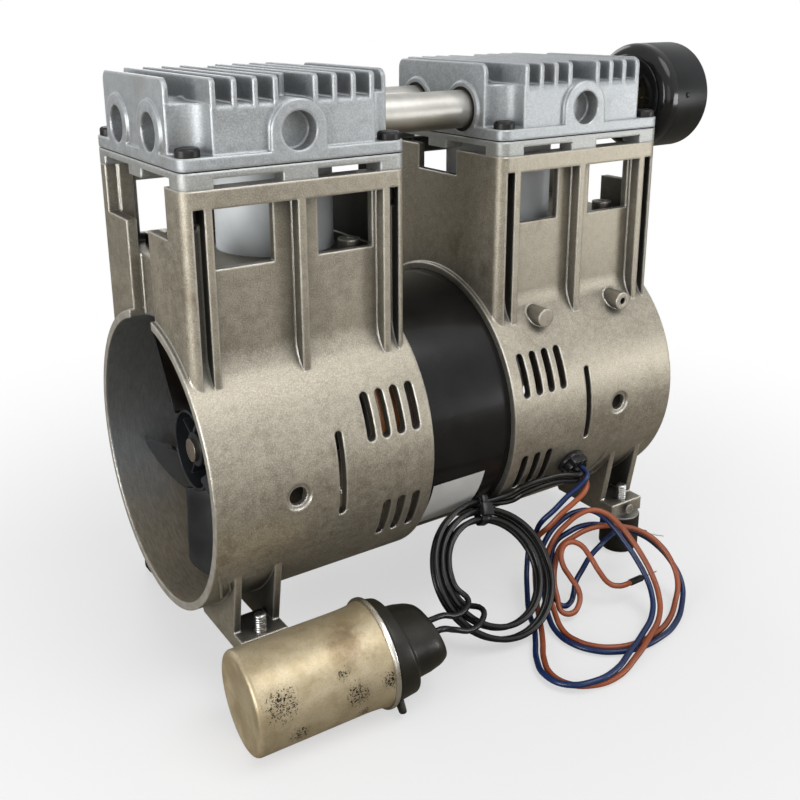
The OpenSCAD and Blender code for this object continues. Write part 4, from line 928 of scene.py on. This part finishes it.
def makeFans():
    hub = addDrum("fanHub", fan["hub"], fan["x1"] - fan["x0"], ((fan["x1"] + fan["x0"]) / 2, 0, 0), "X", 80)
    editFaces(hub, facing("X"))
    bpy.ops.mesh.inset(thickness=fan["wall"] * mm)
    extrude(x=-fan["cup"])
    doneEditing()
    roundEdges(hub, 0.45)
    bossEnd = fan["x1"] - fan["bossBack"]
    boss = addDrum("fanBoss", fan["boss"], bossEnd - fan["x0"], ((bossEnd + fan["x0"]) / 2, 0, 0), "X", 48)
    roundEdges(boss, 0.8)
    webs = []
    for angle in fan["webs"]:
        web = addBlock("fanWeb", fan["web"], (fan["x0"] + fan["webX"], fan["webOut"], 0))
        webs.append(roundEdges(turnMesh(web, angle, "X"), 0.3, 2))
    blade = makeBlade()
    blades = [turnMesh(copyPiece(blade, "fanBlade"), 360 / fan["blades"] * k, "X") for k in range(1, fan["blades"])]
    right = joinUp(hub, boss, *webs, blade, *blades)
    right.name = "fanRight"
    left = copyPiece(right, "fanLeft")
    left.data.transform(Matrix.Scale(-1, 4, (1, 0, 0)))
    editFaces(left, allFaces)
    bpy.ops.mesh.flip_normals()
    doneEditing()
    for piece, node in ((right, "fan_right"), (left, "fan_left")):
        fitOut(moveMesh(piece, 0, 0, shaftHeight), "fan", "black_plastic", "rotor", node)


# Blank patch wrapped on the motor shell, between two angles below its middle
label = {"x": (-21.5, 11.5), "from": 16.5, "to": 43, "radius": 71.06, "thick": 0.1}


def makeLabel():
    low, high = label["x"]
    piece = addDrum("barePatch", label["radius"], high - low, ((low + high) / 2, 0, 0), "X", 240)

    def outside(centre, normal):
        down = math.degrees(math.atan2(-centre.z, -centre.y))
        return abs(normal.x) > 0.9 or not label["from"] < down < label["to"]

    editFaces(piece, outside)
    bpy.ops.mesh.delete(type="FACE")
    doneEditing()
    modify(piece, "SOLIDIFY", thickness=label["thick"] * mm, offset=1)
    moveMesh(smoothOff(piece, 40), 0, 0, shaftHeight)
    piece.data.materials.append(finishes["label"])
    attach(piece, "pump")


# Casting marks on each housing: swept ridges beside the legs, and ejector rounds on the pads
ridges = [
    {"x": (102.4, 95.9), "down": (21, 42), "side": -1}, {"x": (114, 106), "down": (31, 46), "side": -1},
    {"x": (140.5, 134), "down": (23, 43), "side": 1}, {"x": (134, 129.5), "down": (30, 42), "side": 1},
]
ridgeShape = {"block": (2.4, 1.5, 0.2), "out": 74.95, "steps": 14, "wall": 75, "seat": 74.9, "crest": 1.1,
              "rise": 1.6, "narrow": 0.3}
ejector = {"radius": 3, "thick": 0.5, "x": 119.2, "y": 71.9, "z": -73.2}


def makeRidge(look):
    (x0, x1), (low, high), side = look["x"], look["down"], look["side"]
    shape = ridgeShape
    piece = addBlock("castRidge", shape["block"], (x0, side * shape["out"], 0))
    turnMesh(piece, -side * low, "X")
    ahead = Matrix.Rotation(math.radians(-side * low), 3, "X") @ Vector((0, 0, -1))
    editFaces(piece, lambda c, n: n.dot(ahead) > 0.9)
    for _ in range(shape["steps"]):
        extrude(x=(x1 - x0) / shape["steps"])
        bpy.ops.transform.rotate(value=math.radians(side * (high - low) / shape["steps"]), orient_axis="X",
                                 center_override=(0, 0, 0))
    doneEditing()
    for v in piece.data.vertices:  # a narrow crest that rises out of the wall and runs into the leg
        radius = math.hypot(v.co.y, v.co.z)
        gone = min(1, max(0, (math.degrees(math.atan2(-v.co.z, side * v.co.y)) - low) / (high - low)))
        middle = (x0 + (x1 - x0) * gone) * mm
        if radius > shape["wall"] * mm:
            crest = (shape["seat"] + shape["crest"] * math.sin(math.pi / 2 * min(1, gone * shape["rise"]))) * mm
            v.co = (middle + (v.co.x - middle) * shape["narrow"], v.co.y * crest / radius, v.co.z * crest / radius)
    return roundEdges(piece, 0.3, 3, 30)


def makeMarks():
    marks = [makeRidge(look) for look in ridges]
    for side in (-1, 1):
        at = (ejector["x"], side * ejector["y"], ejector["z"])
        marks.append(roundEdges(addDrum("ejectorRound", ejector["radius"], ejector["thick"], at, "Y", 32), 0.06, 1))
    right = joinUp(*marks)
    right.name = "marksRight"
    left = turnMesh(copyPiece(right, "marksLeft"), 180, "Z")
    for piece in (right, left):
        fitOut(moveMesh(piece, 0, 0, shaftHeight), "housing", "blasted_casting", "pump")


# Rolled thread on each foot's stud, with a domed tip
stud = {"at": (119.2, 64.5), "radius": 3.0, "pitch": 1.25, "depth": 0.42, "rings": 8, "tip": 1.3,
        "plainFoot": 1.5, "plainTip": 1.4}


def makeStuds():
    low, high = (corner[2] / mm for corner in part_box("foot_studs"))
    piece = addDrum("footStuds", stud["radius"], high - low, (0, 0, (low + high) / 2), vertices=28)
    editFaces(piece, facing("Z"))
    bpy.ops.mesh.bevel(offset=stud["tip"] * mm, segments=4)
    doneEditing()
    editEdges(piece, lambda a, b: abs(a.z - b.z) > (high - low) * 0.7 * mm)
    bpy.ops.mesh.subdivide(number_cuts=int((high - low) / stud["pitch"] * stud["rings"]))
    doneEditing()
    for v in piece.data.vertices:
        out, z = math.hypot(v.co.x, v.co.y) / mm, v.co.z / mm
        if low + stud["plainFoot"] < z < high - stud["plainTip"] and out > stud["radius"] - 0.1:
            wave = math.cos(2 * math.pi * z / stud["pitch"] - math.atan2(v.co.y, v.co.x))
            shrink = 1 - stud["depth"] * (0.5 + 0.5 * wave) / out
            v.co.x *= shrink
            v.co.y *= shrink
    smoothOff(piece, 60)
    x, y = stud["at"]
    studs = [piece, *(copyPiece(piece, "footStud") for _ in range(3))]
    for one, (sideX, sideY) in zip(studs, ((1, 1), (1, -1), (-1, 1), (-1, -1))):
        moveMesh(one, sideX * x, sideY * y)
    fitOut(joinUp(*studs), "steel", "steel", "pump", "foot_studs")


finishes["can"] = canFinish()
makeTie()
makeCan()
makeBoot()
makeGland()
makeFilter()
makeFans()
makeLabel()
makeMarks()
makeStuds()
print("pieces made")

# CAD nodes that keep their shape, and the finish of each: first the ones with a left and a right
pairFinish = {
    "housing": "housing", "bearing": "steel", "cylinder": "sleeve", "valve_plate": "plate", "reeds": "steel",
    "head_gasket": "gasket", "head_cover": "head", "head_screws": "screw", "eccentric": "iron", "rod": "tube",
    "rod_bearing": "steel", "piston_cup": "cup", "cup_retainer": "tube", "cup_screw": "steel",
}
nodeFinish = {
    "motor_shell": "shell", "stator_core": "lamination", "stator_windings": "winding", "through_bolts": "steel",
    "crossover_tube_front": "tube", "crossover_tube_back": "tube", "tube_seals": "rubber",
    "filter_nipple": "brass", "filter_element": "felt", "rubber_feet": "rubber", "foot_washers": "steel",
    "shaft": "shaft", "rotor_core": "lamination", "capacitor_terminals": "brass",
}
for name, finish in pairFinish.items():
    nodeFinish.update({name + "_left": finish, name + "_right": finish})
for name, finish in nodeFinish.items():
    for slot in nodes[name].material_slots:
        slot.material = finishes[finish]
print("CAD nodes finished:", len(nodeFinish))

for piece, start, farEnd, ends in laidCords:
    tuple(start * mm)

# Studio: a white sweep that glows to the camera alone and keeps the pump's shadow, and five soft lamps.
# Each lamp: where it stands in metres, its power and how wide it is
floor = {"size": 6, "z": -0.0004, "rough": 0.75, "white": (0.88, 0.88, 0.88), "grey": (0.84, 0.84, 0.84),
         "glow": 0.55, "fade": (0.12, 0.5), "bounce": (0.30, 0.27, 0.22)}
sky = {"colour": (0.95, 0.97, 1), "strength": 0.3, "white": (1, 1, 1), "inGloss": 0.6}
lamps = {
    "key": ((0.35, -0.85, 1.6), 11.5, 1.2), "fill": ((-0.45, -1.5, 0.35), 2.5, 1.0),
    "left": ((-1.35, -0.3, 0.3), 12, 0.8), "side": ((1.0, -0.9, 0.12), 4, 0.45),
    "back": ((0.2, 1.4, 1.0), 5, 0.9),
}
lampAim = (0, 0, 0.13)


def makeFloor():
    letGo()
    bpy.ops.mesh.primitive_plane_add(size=floor["size"], location=(0, 0, floor["z"]))
    sweep = nameNew("studioFloor")
    f = Finish("whiteSweep", Roughness=floor["rough"])
    f.set(Base_Color=f.mix(f.noise(30) * 0.04, floor["white"], floor["grey"]))
    glow = f.node("ShaderNodeEmission", None, {"Color": (1, 1, 1), "Strength": 1.0})
    away = f.vector("LENGTH", f.place)
    share = f.ramp(away, *floor["fade"]) * (1 - floor["glow"]) + floor["glow"]
    shown = f.mixShader(share, Wire(f, f.shader.outputs[0]), glow)
    bounce = f.node("ShaderNodeBsdfDiffuse", None, {"Color": floor["bounce"]})
    seen = f.node("ShaderNodeLightPath", output="Is Camera Ray")
    f.give(f.tree.nodes["Material Output"], "Surface", f.mixShader(seen, bounce, shown))
    sweep.data.materials.append(f.material)


def makeSky():
    world = bpy.data.worlds.new("studio")
    bpy.context.scene.world = world
    s = Shading(world)
    dim = s.tree.nodes["Background"]
    s.give(dim, "Color", sky["colour"])
    s.give(dim, "Strength", sky["strength"])
    white = s.node("ShaderNodeBackground", None, {"Color": sky["white"], "Strength": 1.0})
    seen = s.node("ShaderNodeLightPath", output="Is Camera Ray")
    inGloss = s.node("ShaderNodeLightPath", output="Is Glossy Ray")
    share = s.node("ShaderNodeMath", {"operation": "MULTIPLY_ADD", "use_clamp": True},
                   {0: inGloss, 1: sky["inGloss"], 2: seen})
    s.give(s.tree.nodes["World Output"], "Surface", s.mixShader(share, Wire(s, dim.outputs[0]), white))


def makeLamps():
    for name, (at, power, size) in lamps.items():
        data = bpy.data.lights.new(name, "AREA")
        data.shape = "DISK"
        data.size = size
        data.energy = power
        lamp = bpy.data.objects.new(name, data)
        bpy.context.scene.collection.objects.link(lamp)
        aim = Vector(lampAim) - Vector(at)
        lamp.matrix_world = Matrix.Translation(at) @ aim.to_track_quat("-Z", "Y").to_matrix().to_4x4()


makeFloor()
makeSky()
makeLamps()
bpy.context.scene.view_settings.view_transform = "Standard"
print("studio lit")
